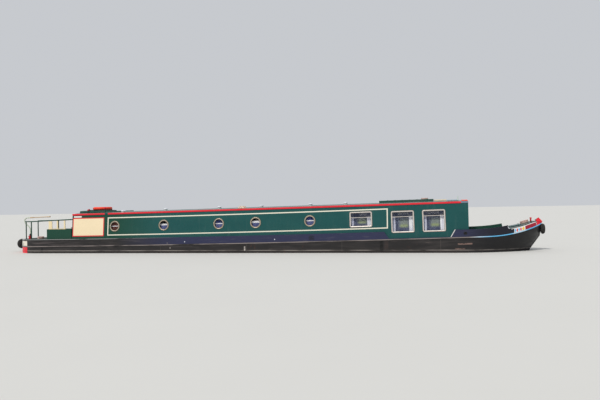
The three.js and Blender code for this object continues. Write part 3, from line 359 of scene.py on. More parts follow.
def hull_paint(name):
    """Black bottom paint, the rubbed guards, the navy band over the strake, the marks of use, and a painted
    highlight along the gunwale's edge aft.
    """
    look = Look(name, BLACK, rough=0.45, coat=0.1)
    above = look.above_strake()
    look.vary(0.35, 1.7, (1, 1, 5))
    look.tint(look.spots(5, 0.48, 0.75, (0.25, 1, 2.2), 6), (0.09, 0.078, 0.075), 0.35)
    look.tint(look.step(look.z, 0.17, -0.02), (0.045, 0.036, 0.028), 0.4)
    look.tint(look.spots(26, 0.68, 0.73, (0.035, 1, 1), 3), (0.2, 0.16, 0.14), 0.5)
    look.tint(look.spots(3.3, 0.63, 0.72, (1, 1, 0.5), 7, 0.7), (0.11, 0.04, 0.02), 0.4)
    band = look.step(above, 0.019, 0.023)
    scuffed = look.both(look.step(look.x, -3.4, -5.0), look.spots(9, 0.52, 0.7, (0.1, 1, 1.4), 5, 0.65))
    look.tint(look.both(band, scuffed), (0.16, 0.13, 0.13), 0.4)
    navy = look.mix(look.noise(3), (*NAVY, 1), (0.026, 0.028, 0.08, 1))
    worn = look.mix(look.spots(30, 0.58, 0.75, (0.08, 1, 1)), navy, (0.07, 0.07, 0.1, 1))
    look.color = look.mix(look.both(band, look.step(look.x, -4.8, -2.6)), look.color, worn)
    look.tint(look.step(look.x, 6.5, 7.6), (0.006, 0.0065, 0.01), 0.7)
    for x in SEAMS:
        seam = look.both(look.within(look.x, x - 0.004, x + 0.004, 0.003), look.step(above, -0.03, -0.04))
        look.tint(seam, (0.13, 0.11, 0.1), 0.6)
    broken = look.spots(17, 0.36, 0.5, (0.5, 1, 1.6), 5, 0.65)
    near = look.step(look.y, -0.5, -0.6)
    for x0, x1, low, high, color, strength in HULL_MARKS:
        mark = look.both(look.patch(x0, x1, low, high, above, 0.012), near)
        look.tint(look.both(mark, broken), color, strength)
    guard = look.math("SUBTRACT", look.z, WATER_GUARD)
    for line, color in ((above, (0.32, 0.275, 0.265)), (guard, WORN_STEEL)):
        rubbed = look.within(line, -0.013, 0.015, 0.004)
        look.tint(look.both(rubbed, look.spots(11, 0.34, 0.56, (0.12, 1, 1), 5)), color, 0.75)
    # The light grey line along the gunwale's edge aft is partly rubbed paint and partly a painted highlight.
    edge = look.within(above, GUNWALE - 0.014, GUNWALE + 0.003, 0.004)
    edge = look.both(look.both(edge, look.step(look.x, -2.5, -5.4)), look.spots(13, 0.35, 0.5, (0.15, 1, 1)))
    look.tint(edge, (0.42, 0.42, 0.42), 0.7)
    look.roughen(0.14, 5, (0.4, 1, 2))
    look.grain(40, 0.2, 0.002)
    look.grain(3, 0.2, 0.008, (0.4, 1, 1))
    return look


def side_paint():
    """The hull sides, with the white slant where the bulwark starts."""
    look = hull_paint("side_paint")
    above = look.above_strake()
    slant = look.math("SUBTRACT", look.x, look.both(above, SLANT))
    slant = look.within(look.math("SUBTRACT", slant, SLANT_FOOT), 0.0, 0.024)
    look.tint(look.both(slant, look.within(above, *SLANT_BAND)), (0.72, 0.7, 0.68))
    return look.done()


def counter_paint():
    """The stern's two bands: white over red, all round behind a line."""
    look = hull_paint("counter_paint")
    behind = look.step(look.x, COUNTER_LINE, COUNTER_LINE - 0.005)
    white = look.both(behind, look.within(look.above_strake(), *WHITE_BAND))
    red = look.both(behind, look.within(look.z, *RED_BAND))
    rub = look.spots(9, 0.7, 0.62, (1, 1, 0.6), 6)
    look.tint(look.both(white, rub), (0.74, 0.7, 0.6))
    look.tint(look.both(red, rub), RED)
    return look.done()


def bow_paint():
    """The bow: its line runs from white to blue on the strake, its stem is red, and it is green inside."""
    look = hull_paint("bow_paint")
    above = look.above_strake()
    look.tint(look.step(look.x, 6.9, 7.9), (0.006, 0.006, 0.006), 0.5)
    line = look.both(look.within(above, -0.014, 0.016), look.step(look.x, 6.9, 7.2))
    blue = look.mix(look.step(look.x, 7.0, 7.6), (0.6, 0.66, 0.72, 1), (*LIGHT_BLUE, 1))
    pale = look.mix(look.both(look.within(look.x, 8.2, 8.62, 0.03), 0.7), blue, (0.6, 0.75, 0.85, 1))
    look.color = look.mix(line, look.color, pale)
    stem = look.step(look.x, STEM_RED, STEM_RED + 0.004)
    look.tint(look.both(stem, look.step(above, 0.018, 0.021)), RED)
    look.tint(look.both(look.inward("Y", 0.0), look.step(above, 0.0, 0.01)), (0.012, 0.06, 0.042))
    return look.done()


def fore_deck_paint():
    look = gloss_paint("fore_deck_paint", (0.006, 0.034, 0.024), 0.2)
    fore = look.step(look.x, DECK_RED, DECK_RED + 0.01)
    look.tint(look.both(fore, look.step(look.above_strake(), 0.196, 0.2)), RED)
    return look.done()


def plain(name, color, rough, metal, vary, scale, coat=0.0):
    look = Look(name, color, rough, metal, coat)
    look.vary(vary, scale)
    look.roughen(min(0.12, rough * 0.5), scale * 1.7)
    look.grain(scale * 12, 0.05, 0.001)
    return look.done()


def wood(name, color, dark):
    look = Look(name, color, rough=0.38, coat=0.2)
    look.tint(look.spots(9, 0.4, 0.62, (0.25, 3, 3), 6, 0.7), dark)
    look.grain(60, 0.15, 0.001, (0.15, 1, 1))
    return look.done()


def rope_look(name, color, dark):
    look = Look(name, color, rough=0.92)
    look.tint(look.spots(70, 0.45, 0.7), dark)
    look.grain(400, 0.5, 0.002)
    look.shader.inputs["Sheen Weight"].default_value = 0.25
    return look.done()


def glass_look(name, color, alpha):
    look = Look(name, color, rough=0.04, coat=1.0)
    look.shader.inputs["Alpha"].default_value = alpha
    look.shader.inputs["Coat Roughness"].default_value = 0.02
    look.grain(1.2, 0.04, 0.004)
    return look.done()


# Light in the nets: shares of the window's width and height, softness, colour and strength
LIT_PATCHES = (
    (-0.14, 0.26, 0.28, 0.62, 0.07, (0.27, 0.31, 0.27), 0.75),
    (-0.12, 0.22, 0.26, 0.36, 0.035, (0.38, 0.46, 0.18), 0.7),
)


def net_look():
    """Grey-blue net, with the light of the far side's windows low in the middle of each pane."""
    look = Look("net_curtain", (0.07, 0.085, 0.15), rough=0.9)
    above = look.above_strake()
    look.tint(look.spots(14, 0.4, 0.7, (1, 1, 0.2), 3), (0.12, 0.14, 0.22))
    for x, width, sill, head in WINDOWS:
        for u0, u1, v0, v1, soft, color, strength in LIT_PATCHES:
            low, high = (sill + v * (head - sill) for v in (v0, v1))
            look.tint(look.patch(x + u0 * width, x + u1 * width, low, high, above, soft), color, strength)
    look.grain(900, 0.3, 0.0005)
    return look.done()


def mottled_look():
    look = Look("mottled_cream", (0.62, 0.5, 0.38), rough=0.6)
    look.tint(look.spots(38, 0.5, 0.58, detail=3), (0.3, 0.19, 0.14))
    look.tint(look.spots(23, 0.56, 0.64, detail=3), (0.78, 0.7, 0.6))
    look.grain(120, 0.3, 0.001)
    return look.done()


def cloth(name, color, shade):
    look = Look(name, color, rough=0.85)
    look.tint(look.spots(22, 0.4, 0.68, (1, 1, 0.06), 2), shade)
    look.grain(700, 0.25, 0.0006)
    return look.done()


def deck_look(name):
    look = Look(name, (0.03, 0.05, 0.043), rough=0.8)
    look.vary(0.25, 3)
    look.tint(look.spots(5, 0.52, 0.7, detail=7), (0.14, 0.13, 0.11), 0.35)
    look.grain(350, 0.6, 0.002)
    return look


def roof_look():
    look = gloss_paint("roof_paint", (0.022, 0.09, 0.068), 0.2)
    look.tint(look.spots(2.2, 0.48, 0.7, detail=6), (0.12, 0.15, 0.13), 0.25)
    # Painted sky reflection: the roof's fore end is tinted pale blue-grey.
    look.tint(look.step(look.x, ROOF_SKY_REFLECTION_FROM, ROOF_SKY_REFLECTION_FROM + 0.04), (0.2, 0.3, 0.38), 0.55)
    return look.done()


def rail_look():
    """Red handrail, with the short green break aft and the grey-blue fore end."""
    look = gloss_paint("rail_paint", RED, 0.08)
    look.tint(look.within(look.x, *RAIL_BREAK), GREEN)
    look.tint(look.step(look.x, RAIL_GREY_FROM, RAIL_GREY_FROM + 0.01), (0.16, 0.22, 0.29))
    return look.done()


def stern_deck_look():
    """Gritty deck paint, with the two mooring posts red."""
    look = deck_look("stern_deck_paint")
    look.tint(look.step(look.math("SUBTRACT", look.above_strake(), GUNWALE), 0.006, 0.009), RED)
    return look.done()


def rudder_look():
    """Black below, and the swan neck in pale paint."""
    look = hull_paint("rudder_paint")
    look.tint(look.step(look.z, NECK_FOOT, NECK_FOOT + 0.01), (0.5, 0.55, 0.45))
    return look.done()


M = {
    "green": green_look("green_paint").done(),
    "cabin": lined_green("cabin_paint", "Y"),
    "bulkhead": lined_green("bulkhead_paint", "X"),
    "fore_deck": fore_deck_paint(),
    "hull": hull_paint("hull_paint").done(),
    "side": side_paint(),
    "counter": counter_paint(),
    "bow": bow_paint(),
    "rudder": rudder_look(),
    "roof": roof_look(),
    "rail": rail_look(),
    "deck": deck_look("deck_paint").done(),
    "stern_deck": stern_deck_look(),
    "floor": wood("cabin_boards", (0.3, 0.17, 0.08), (0.18, 0.09, 0.04)),
    "tiller": wood("tiller_wood", (0.62, 0.48, 0.32), (0.45, 0.31, 0.18)),
    "black_rope": rope_look("black_rope", (0.02, 0.019, 0.018), (0.05, 0.047, 0.043)),
    "pale_rope": rope_look("pale_rope", (0.72, 0.5, 0.45), (0.5, 0.33, 0.29)),
    "glass": glass_look("window_glass", (0.03, 0.035, 0.045), 0.06),
    "tinted": glass_look("tinted_glass", (0.012, 0.018, 0.045), 0.5),
    "net": net_look(),
    "mottled": mottled_look(),
}
# Enamels: colour and how much it varies
for look, name, *settings in (
    ("red", "red_paint", RED, 0.08),
    ("cream", "cream_paint", CREAM, 0.06),
    ("sign", "panel_cream", (0.84, 0.7, 0.47), 0.05),
    ("line", "line_cream", (0.78, 0.75, 0.62), 0.05),
    ("white", "white_paint", (0.8, 0.8, 0.78), 0.06),
    ("blue", "blue_paint", LIGHT_BLUE, 0.08),
    ("yellow", "yellow_paint", (0.85, 0.55, 0.05), 0.08),
    ("crimson", "crimson_paint", CRIMSON, 0.1),
    ("black", "black_paint", BLACK, 0.2),
    ("door", "door_green", (0.008, 0.05, 0.04), 0.1),
):
    M[look] = gloss_paint(name, *settings).done()
# Metals, plastics and rubber: colour, roughness, metal, variation, the scale of it and any coat
for look, name, *settings in (
    ("vent", "vent_metal", (0.8, 0.83, 0.9), 0.3, 0.35, 0.06, 10, 0.3),
    ("pale", "pale_enamel", (0.42, 0.5, 0.46), 0.4, 0, 0.08, 10),
    ("brass", "porthole_brass", (0.5, 0.44, 0.34), 0.36, 0.7, 0.15, 14),
    ("yellow_brass", "polished_brass", (0.72, 0.5, 0.2), 0.22, 0.95, 0.12, 14),
    # Dark brass used as painted shade on the portholes' outer lips and throats.
    ("tarnish", "tarnished_brass", (0.16, 0.12, 0.085), 0.5, 0.4, 0.2, 16),
    ("chrome", "polished_steel", (0.7, 0.7, 0.72), 0.16, 1.0, 0.08, 10),
    ("aluminium", "window_aluminium", (0.74, 0.69, 0.63), 0.34, 0.55, 0.1, 9),
    ("lip", "weathered_frame_lip", (0.36, 0.28, 0.25), 0.5, 0.2, 0.12, 11),
    ("steel", "plain_steel", (0.33, 0.32, 0.31), 0.42, 0.9, 0.2, 12),
    ("bronze", "propeller_bronze", (0.42, 0.27, 0.12), 0.36, 0.9, 0.25, 12),
    ("engine", "engine_paint", (0.02, 0.09, 0.05), 0.45, 0, 0.2, 5),
    ("orange", "lifebuoy_shell", (0.83, 0.055, 0.02), 0.5, 0, 0.08, 7),
    # This dark also serves as painted shade inside the hawse rings.
    ("dark", "cabin_dark", (0.008, 0.009, 0.012), 0.7, 0, 0.2, 3),
    ("rubber", "black_rubber", (0.015, 0.015, 0.016), 0.65, 0, 0.15, 20),
):
    M[look] = plain(name, *settings)
# Cloths: colour, and the shade between folds
for look, name, *settings in (
    ("curtain", "curtain", (0.72, 0.74, 0.84), (0.42, 0.45, 0.62)),
    ("white_curtain", "white_curtain", (0.93, 0.94, 0.97), (0.66, 0.68, 0.82)),
    ("blue_cloth", "blue_cloth", (0.045, 0.07, 0.27), (0.025, 0.04, 0.16)),
    ("pale_blue", "folded_blue_cloth", (0.36, 0.47, 0.52), (0.24, 0.34, 0.4)),
    ("blue_grey_cloth", "blue_grey_cloth", (0.13, 0.16, 0.36), (0.08, 0.1, 0.25)),
    ("heading", "curtain_heading", (0.95, 0.95, 0.97), (0.8, 0.81, 0.86)),
    ("rust_cloth", "rust_cloth", (0.16, 0.05, 0.035), (0.08, 0.022, 0.016)),
    ("mop", "mop_strands", (0.62, 0.06, 0.08), (0.4, 0.03, 0.045)),
):
    M[look] = cloth(name, *settings)


# Meshes
SIDE_LEAN = math.atan(TUMBLEHOME)
BEVEL_ANGLE = math.radians(35)


def turns(count):
    """The angles of equal steps round a full turn."""
    return [2 * math.pi * k / count for k in range(count)]


def circle(radius, count=48):
    return [(radius * math.cos(a), radius * math.sin(a)) for a in turns(count)]


def spread(a, b, count):
    return [a + (b - a) * i / count for i in range(count + 1)]


def rounded(width, height, radius, steps=6):
    """The outline of a rounded rectangle, centred."""
    w, h = width / 2 - radius, height / 2 - radius
    points = []
    for cx, cy, start in ((w, h, 0), (-w, h, 90), (-w, -h, 180), (w, -h, 270)):
        for a in spread(math.radians(start), math.radians(start + 90), steps):
            points.append((cx + radius * math.cos(a), cy + radius * math.sin(a)))
    return points


def opening(width, height, radius):
    """A rounded rectangle's outline as a function of the inset."""
    return lambda inset: rounded(width - 2 * inset, height - 2 * inset, radius)


def smooth_path(points, parts):
    """More points on the same smooth line."""
    fine = []
    for i in range(len(points) - 1):
        a, b = points[max(i - 1, 0)], points[i]
        c, d = points[i + 1], points[min(i + 2, len(points) - 1)]
        for t in spread(0, 1, parts)[:-1]:
            bend, swing = a * 2 - b * 5 + c * 4 - d, b * 3 - a - c * 3 + d
            fine.append(b + (c - a) * 0.5 * t + bend * 0.5 * t**2 + swing * 0.5 * t**3)
    return fine + [points[-1]]


class Build:
    """Collects shapes and their materials, and makes one piece of them."""

    def __init__(self, name, body="boat"):
        self.name, self.body = name, body
        self.verts, self.faces, self.slots, self.smooth, self.used = [], [], [], [], []

    def put(self, verts, faces, look, smooth=False):
        start = len(self.verts)
        if look not in self.used:
            self.used.append(look)
        self.verts += [Vector(v) for v in verts]
        self.faces += [[start + i for i in f] for f in faces]
        self.slots += [self.used.index(look)] * len(faces)
        self.smooth += [smooth] * len(faces)

    def rings(self, rings, look, smooth=True, closed=False):
        """Skins rings of points that all have the same count."""
        n, faces = len(rings[0]), []
        for s in range(len(rings) if closed else len(rings) - 1):
            a, b = s * n, (s + 1) % len(rings) * n
            faces += [[a + i, a + (i + 1) % n, b + (i + 1) % n, b + i] for i in range(n)]
        self.put([p for ring in rings for p in ring], faces, look, smooth)
        if not closed:
            self.put(rings[0], [list(range(n))[::-1]], look)
            self.put(rings[-1], [list(range(n))], look)

    def tube(self, points, radius, look, sides=12, closed=False, lobes=0, twist=0.0):
        """A round bar along points; with lobes and twist it is laid rope."""
        points = [Vector(p) for p in points]
        last = len(points) - 1
        normal, rings, run = None, [], 0.0
        for i, p in enumerate(points):
            before = points[i - 1] if i or closed else p
            after = points[(i + 1) % len(points)] if i < last or closed else p
            along = (after - before).normalized()
            if normal is None:
                normal = along.orthogonal().normalized()
            normal = (normal - along * normal.dot(along)).normalized()
            other = along.cross(normal)
            if i:
                run += (p - points[i - 1]).length
            ring = []
            for a in turns(sides):
                swell = 1 + 0.16 * math.cos(lobes * (a - twist * run)) if lobes else 1
                ring.append(p + (normal * math.cos(a) + other * math.sin(a)) * radius * swell)
            rings.append(ring)
        self.rings(rings, look, closed=closed)

    def lathe(self, profile, at, look, sides=32, axis=(0, 0, 1)):
        """Turns a profile of (radius, height) about an axis."""
        turn = Vector((0, 0, 1)).rotation_difference(Vector(axis)).to_matrix()
        at = Vector(at)
        self.rings([[at + turn @ Vector((*p, h)) for p in circle(r, sides)] for r, h in profile], look)

    def loop(self, outline, profile, at, look, smooth=True):
        """A profile of (inset, height) carried round an outline that is given as a function of the inset."""
        sections = [[at(*p, height) for p in outline(inset)] for inset, height in profile]
        self.rings(list(zip(*sections)), look, smooth, closed=True)

    def slab(self, outline, low, high, at, look):
        """A flat plate between two heights."""
        self.rings([[at(*p, w) for p in outline] for w in (low, high)], look, smooth=False)

    def stud(self, profile, at, u, v, look, sides=8):
        """A domed head on a surface, from a profile of (radius, height)."""
        self.rings([[at(u + a, v + b, w) for a, b in circle(r, sides)] for r, w in profile], look)

    def handle(self, at, side, radius, look):
        """A bowed handle across v; its one side is given, from the foot, as (v, height)."""
        path = [at(0, v, w) for v, w in [*side, *((-v, w) for v, w in side[::-1])]]
        self.tube(smooth_path(path, 4), radius, look, 10)

    def shell(self, rows, backs, look, smooth=True):
        """A closed skin between two grids of points."""
        wide, long = len(rows[0]), len(rows)
        back, last = wide * long, (long - 1) * wide
        faces = []
        for r in range(long - 1):
            for i in range(wide - 1):
                a = r * wide + i
                quad = [a, a + 1, a + wide + 1, a + wide]
                faces += [quad, [back + k for k in quad[::-1]]]
        rim = list(range(wide)) + [r * wide + wide - 1 for r in range(1, long)]
        rim += [last + i for i in range(wide - 2, -1, -1)] + [r * wide for r in range(long - 2, 0, -1)]
        faces += [[a, back + a, back + b, b] for a, b in zip(rim, rim[1:] + rim[:1])]
        self.put([p for row in (*rows, *backs) for p in row], faces, look, smooth)

    def block(self, low, high, look, at=lambda *place: place):
        """A box between two corners, carried by a placing function."""
        (x0, y0, z0), (x1, y1, z1) = low, high
        corners = [at(x, y, z) for x in (x0, x1) for y in (y0, y1) for z in (z0, z1)]
        faces = [[0, 1, 3, 2], [4, 6, 7, 5], [0, 4, 5, 1], [2, 3, 7, 6], [0, 2, 6, 4], [1, 5, 7, 3]]
        self.put(corners, faces, look)

    def done(self, replaces=None, bevel=0.0):
        mesh = bpy.data.meshes.new(self.name)
        mesh.from_pydata(self.verts, [], self.faces)
        for look in self.used:
            mesh.materials.append(M[look])
        mesh.polygons.foreach_set("material_index", self.slots)
        mesh.polygons.foreach_set("use_smooth", self.smooth)
        mesh.update()
        shape = bmesh.new()
        shape.from_mesh(mesh)
        bmesh.ops.remove_doubles(shape, verts=shape.verts, dist=1e-7)
        bmesh.ops.recalc_face_normals(shape, faces=shape.faces)
        shape.to_mesh(mesh)
        shape.free()
        obj = add_object(self.name, mesh)
        if bevel:
            mod = obj.modifiers.new("edges", "BEVEL")
            mod.width, mod.segments, mod.limit_method, mod.angle_limit = bevel, 2, "ANGLE", BEVEL_ANGLE
        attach(obj, self.body)
        if replaces:
            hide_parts(replaces)
        return obj


# Placing functions: each turns u, v and the height w over a face into a point of the boat
def panel(side, x, above):
    """Round a spot on the cabin side: u runs forward, v up and w outwards."""
    turn = Euler((side * SIDE_LEAN, -math.atan(sheer_slope(x)), 0)).to_matrix()
    origin = Vector((x, side * cabin_half(above), strake_z(x) + above))
    return lambda u, v, w: origin + turn @ Vector((u, side * w, v))


def spot(x, y, z):
    """Round a point: u runs forward, v to port and w up."""
    return lambda u, v, w: Vector((x + u, y + v, z + w))


def laid_on(surface):
    """Over a surface: u and v are the boat's own x and y."""
    return lambda x, y, w: Vector((x, y, surface(x, y) + w))


def on_side(side, x, above, out):
    """A point on the cabin side's outer face, moved outwards."""
    return Vector((x, side * (cabin_half(above) + out), strake_z(x) + above))


def shifted(at, du, dv):
    return lambda u, v, w: at(u + du, v + dv, w)


# Mooring ropes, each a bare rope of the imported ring's size: its turns lie beside and on each other
ROPE = 0.014
STRANDS, LAY_TURNS = 3, 2 * math.pi / 0.048
REST_GAP = 0.0009
# Where in a turn the rope starts to step to the next
STEP_FROM = 0.7
# The laid rope's core and its whipped ends, as shares of its size, and the whipping's length
CORE, WHIPPED, WHIPPING = 0.93, 0.98, 0.022
# Name, mean diameter, turns side by side, layers, place, and what it lies on
COILS = (
    ("roof_rope", 0.168, 4, 3, 5.59, 0.0, plank_top),
    ("bow_rope", 0.22, 3, 5, 8.672, 0.205, fore_deck_z),
    ("stern_rope", 0.19, 3, 6, -8.19, -0.43, stern_deck_z),
)


def rest_on(seat, x, y, radius):
    """The frame of a ring that has come to rest: tilted with the surface, as high as its contacts need."""
    middle = seat(x, y)
    slope_x = (seat(x + radius, y) - seat(x - radius, y)) / (2 * radius)
    slope_y = (seat(x, y + radius) - seat(x, y - radius)) / (2 * radius)
    lifts = [seat(x + dx, y + dy) - middle - slope_x * dx - slope_y * dy for dx, dy in circle(radius, 24)]
    turn = Vector((0, 0, 1)).rotation_difference(Vector((-slope_x, -slope_y, 1)).normalized())
    return Matrix.Translation((x, y, middle + max(0, *lifts) + REST_GAP)) @ turn.to_matrix().to_4x4()


def coil_path(mean, across, high, steps=24):
    """Turn after turn, inwards on one layer and outwards on the next, each step at the end of a turn."""
    places = []
    for layer in range(high):
        order = range(across) if layer % 2 == 0 else range(across - 1, -1, -1)
        places += [(mean / 2 + (k - (across - 1) / 2) * ROPE, (layer + 0.5) * ROPE) for k in order]
    points = []
    for (radius, height), after in zip(places, places[1:] + places[-1:]):
        for k in range(steps):
            part = k / steps
            shift = min(max((part - STEP_FROM) / (1 - STEP_FROM), 0), 1)
            shift = shift * shift * (3 - 2 * shift)
            r = radius + (after[0] - radius) * shift
            angle = 2 * math.pi * part
            points.append((r * math.cos(angle), r * math.sin(angle), height + (after[1] - height) * shift))
    return points


def mooring_rope(name, mean, across, high, x, y, seat):
    place = rest_on(seat, x, y, (mean + across * ROPE) / 2)
    path = [place @ Vector(p) for p in coil_path(mean, across, high)]
    piece = Build(f"{name}_laid")
    fine = smooth_path(path, 3)
    piece.tube(fine, ROPE / 2 * CORE, "pale_rope", lobes=STRANDS, twist=LAY_TURNS)
    for a, b in ((fine[0], fine[4]), (fine[-1], fine[-5])):
        along = (b - a).normalized()
        piece.tube([a - along * 0.001, a + along * WHIPPING], ROPE / 2 * WHIPPED, "black_rope")
    rope = piece.done(name)


for coil in COILS:
    mooring_rope(*coil)


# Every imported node's finish, by what its name starts with
FINISH = {
    "hull": ("base_plate", "swim_shell"),
    "side": ("hull_side",),
    "bow": ("stem_post", "bow_plate"),
    "counter": ("counter",),
    "deck": ("well_deck",),
    "stern_deck": ("stern_deck",),
    "fore_deck": ("fore_deck",),
    "floor": ("cabin_floor",),
    "cabin": ("cabin_side",),
    "bulkhead": ("aft_bulkhead", "fore_bulkhead"),
    "roof": ("cabin_roof", "sliding_hatch", "gangplank"),
    "rail": ("handrail",),
    "green": ("aft_door", "fore_door", "seat_locker", "seat_lid", "taffrail", "gas_locker_lid"),
    "cream": ("backrest",),
    "brass": ("porthole",),
    "aluminium": ("window",),
    "rudder": ("rudder",),
    "tiller": ("tiller",),
    "bronze": ("propeller",),
    "engine": ("engine",),
    "orange": ("lifebuoy",),
    "black_rope": ("bow_fender", "stern_fender"),
    "pale_rope": ("roof_rope", "bow_rope", "stern_rope"),
}
WELD_WITHIN = 0.00001
FOLD_ANGLE = math.radians(24)


def soft_edges():
    """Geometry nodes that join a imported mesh's corners and shade it smooth up to a fold."""
    group = bpy.data.node_groups.new("soft_edges", "GeometryNodeTree")
    for way in ("INPUT", "OUTPUT"):
        group.interface.new_socket("Geometry", in_out=way, socket_type="NodeSocketGeometry")
    nodes, links = group.nodes, group.links
    start, end = nodes.new("NodeGroupInput"), nodes.new("NodeGroupOutput")
    weld = nodes.new("GeometryNodeMergeByDistance")
    weld.inputs["Distance"].default_value = WELD_WITHIN
    angle = nodes.new("GeometryNodeInputMeshEdgeAngle")
    fold = nodes.new("FunctionNodeCompare")
    fold.data_type, fold.operation = "FLOAT", "GREATER_THAN"
    fold.inputs[1].default_value = FOLD_ANGLE
    faces, edges = nodes.new("GeometryNodeSetShadeSmooth"), nodes.new("GeometryNodeSetShadeSmooth")
    faces.domain, edges.domain = "FACE", "EDGE"
    edges.inputs["Shade Smooth"].default_value = False
    links.new(start.outputs[0], weld.inputs["Geometry"])
    links.new(weld.outputs[0], faces.inputs["Geometry"])
    links.new(faces.outputs[0], edges.inputs["Geometry"])
    links.new(angle.outputs["Unsigned Angle"], fold.inputs[0])
    links.new(fold.outputs[0], edges.inputs["Selection"])
    links.new(edges.outputs[0], end.inputs[0])
    return group


SOFT_EDGES = soft_edges()
for name, obj in NODES.items():
    look = next(look for look, starts in FINISH.items() if name.startswith(starts))
    obj.data.materials.clear()
    obj.data.materials.append(M[look])
    obj.modifiers.new("soft edges", "NODES").node_group = SOFT_EDGES


# Curtains
LINING_FACE = -0.0505
HALF_CLOTH = 0.0009


def hang(name, part, at, box, w, look, deep, wave, ripple=0.0):
    """A gathered cloth on an opening's rod, in a box of u0, u1, v0, v1."""
    u0, u1, v0, v1 = box
    rows, backs = [], []
    for down in spread(0, 1, 12):
        line = []
        for share in spread(0, 1, max(12, round((u1 - u0) / wave * 12))):
            u = u0 + (u1 - u0) * share
            phase = 2 * math.pi * (u - u0) / wave + 0.35 * math.sin(9 * share + 2 * down)
            fold = deep * (0.72 + 0.28 * down) * math.sin(phase)
            line.append((u, v1 + (v0 - v1) * down + ripple * math.sin(phase * 0.5 + 1) * down, w + fold))
        rows.append([at(u, v, depth + HALF_CLOTH) for u, v, depth in line])
        backs.append([at(u, v, depth - HALF_CLOTH) for u, v, depth in line])
    piece = Build(f"{name}_{part}")
    piece.shell(rows, backs, look)
    piece.done()


def curtain_rod(piece, at, v, bar, foot, sides=10):
    """A rod across an opening with a foot to the lining near each end; each is of (reach, depth, radius)."""
    reach, w, radius = bar
    piece.tube([at(-reach, v, w), at(reach, v, w)], radius, "brass", sides)
    reach, w, radius = foot
    for u in (-reach, reach):
        piece.tube([at(u, v, w), at(u, v, LINING_FACE)], radius, "brass", 8)


# Portholes: their places along the boat, and each ring's section as (radius, height)
PORTHOLES = (-4.956, -3.127, -1.15, 0.129, 1.951)
PORTHOLE_ABOVE = 0.665
PORTHOLE_RINGS = (
    ("brass", [
        (0.1502, -0.001), (0.1502, 0.0122), (0.158, 0.0125), (0.173, 0.012),
        (0.1765, 0.0112), (0.1765, 0.0006), (0.155, 0.0006), (0.155, -0.001),
    ]),
    # The next two rings, the outer lip and the throat, are in dark brass: painted shade round the porthole's
    # rim.
    ("tarnish", [
        (0.1768, 0.0006), (0.19, 0.0006), (0.1885, 0.006), (0.184, 0.0095), (0.178, 0.0108), (0.1768, 0.0106),
    ]),
    ("tarnish", [
        (0.14, -0.03), (0.15, -0.03), (0.15, 0.0116), (0.147, 0.0114), (0.142, 0.009), (0.14, 0.004),
    ]),
    ("rubber", [(0.141, 0.004), (0.137, 0.004), (0.137, -0.006), (0.141, -0.006)]),
)
SCREW_CIRCLE, PANE_RADIUS = 0.1685, 0.1385
PORTHOLE_SCREW = [(0.0075, 0.011), (0.007, 0.0145), (0.004, 0.0165), (0.0005, 0.017)]


def porthole(name, side, x):
    at = panel(side, x, PORTHOLE_ABOVE)
    piece = Build(f"{name}_fitted")
    for look, profile in PORTHOLE_RINGS:
        piece.loop(circle, profile, at, look)
    piece.slab(circle(PANE_RADIUS), -0.003, 0.001, at, "glass")
    for u, v in circle(SCREW_CIRCLE, 8):
        piece.stud(PORTHOLE_SCREW, at, u, v, "brass", 10)
    piece.done(name)


# For each porthole from aft: the lower and the upper cloth, and the pale heading's depth
CAFE_LOOKS = (
    ("rust_cloth", "rust_cloth", 0.026),
    ("blue_grey_cloth", None, 0.056),
    ("blue_grey_cloth", "blue_cloth", 0.03),
    ("blue_grey_cloth", None, 0.07),
    ("blue_grey_cloth", "blue_cloth", 0.036),
)
CAFE_HALF, CAFE_FULLNESS = 0.165, 1.45
CAFE_LOW, CAFE_HIGH, CAFE_TOP = -0.155, -0.006, 0.155
CAFE_INSIDE, CAFE_DEEP, CAFE_WAVE, CAFE_ROD = -0.059, 0.005, 0.03, 0.018


def cafe_curtain(name, side, x, lower, upper, deep):
    """The half curtain behind a porthole, its pale ruffled heading, and what hangs above it."""
    at = panel(side, x, PORTHOLE_ABOVE)
    joint, wide = CAFE_HIGH + deep, CAFE_HALF * 2 * CAFE_FULLNESS
    for part, look, v0, v1, w, folds, ripple in (
        ("lower", lower, CAFE_LOW, CAFE_HIGH, CAFE_INSIDE, CAFE_DEEP, 0.0),
        ("upper", upper, joint, CAFE_TOP, CAFE_INSIDE, CAFE_DEEP, 0.0),
        ("heading", "heading", CAFE_HIGH, joint, CAFE_INSIDE + 0.004, CAFE_DEEP * 0.6, 0.001),
    ):
        if look:
            box = (-CAFE_HALF, CAFE_HALF, v0, v1)
            hang(name, f"curtain_{part}", at, box, w, look, folds, CAFE_WAVE, ripple)
    rod = Build(f"{name}_rod")
    foot = (CAFE_HALF + 0.004, CAFE_INSIDE, 0.004)
    curtain_rod(rod, at, CAFE_ROD, (CAFE_HALF + 0.01, CAFE_INSIDE, 0.004), foot)
    rod.done()


for side_name, side in SIDES:
    for i, x in enumerate(PORTHOLES):
        name = f"porthole_{side_name}_{i + 1}"
        porthole(name, side, x)
        cafe_curtain(name, side, x, *CAFE_LOOKS[i])


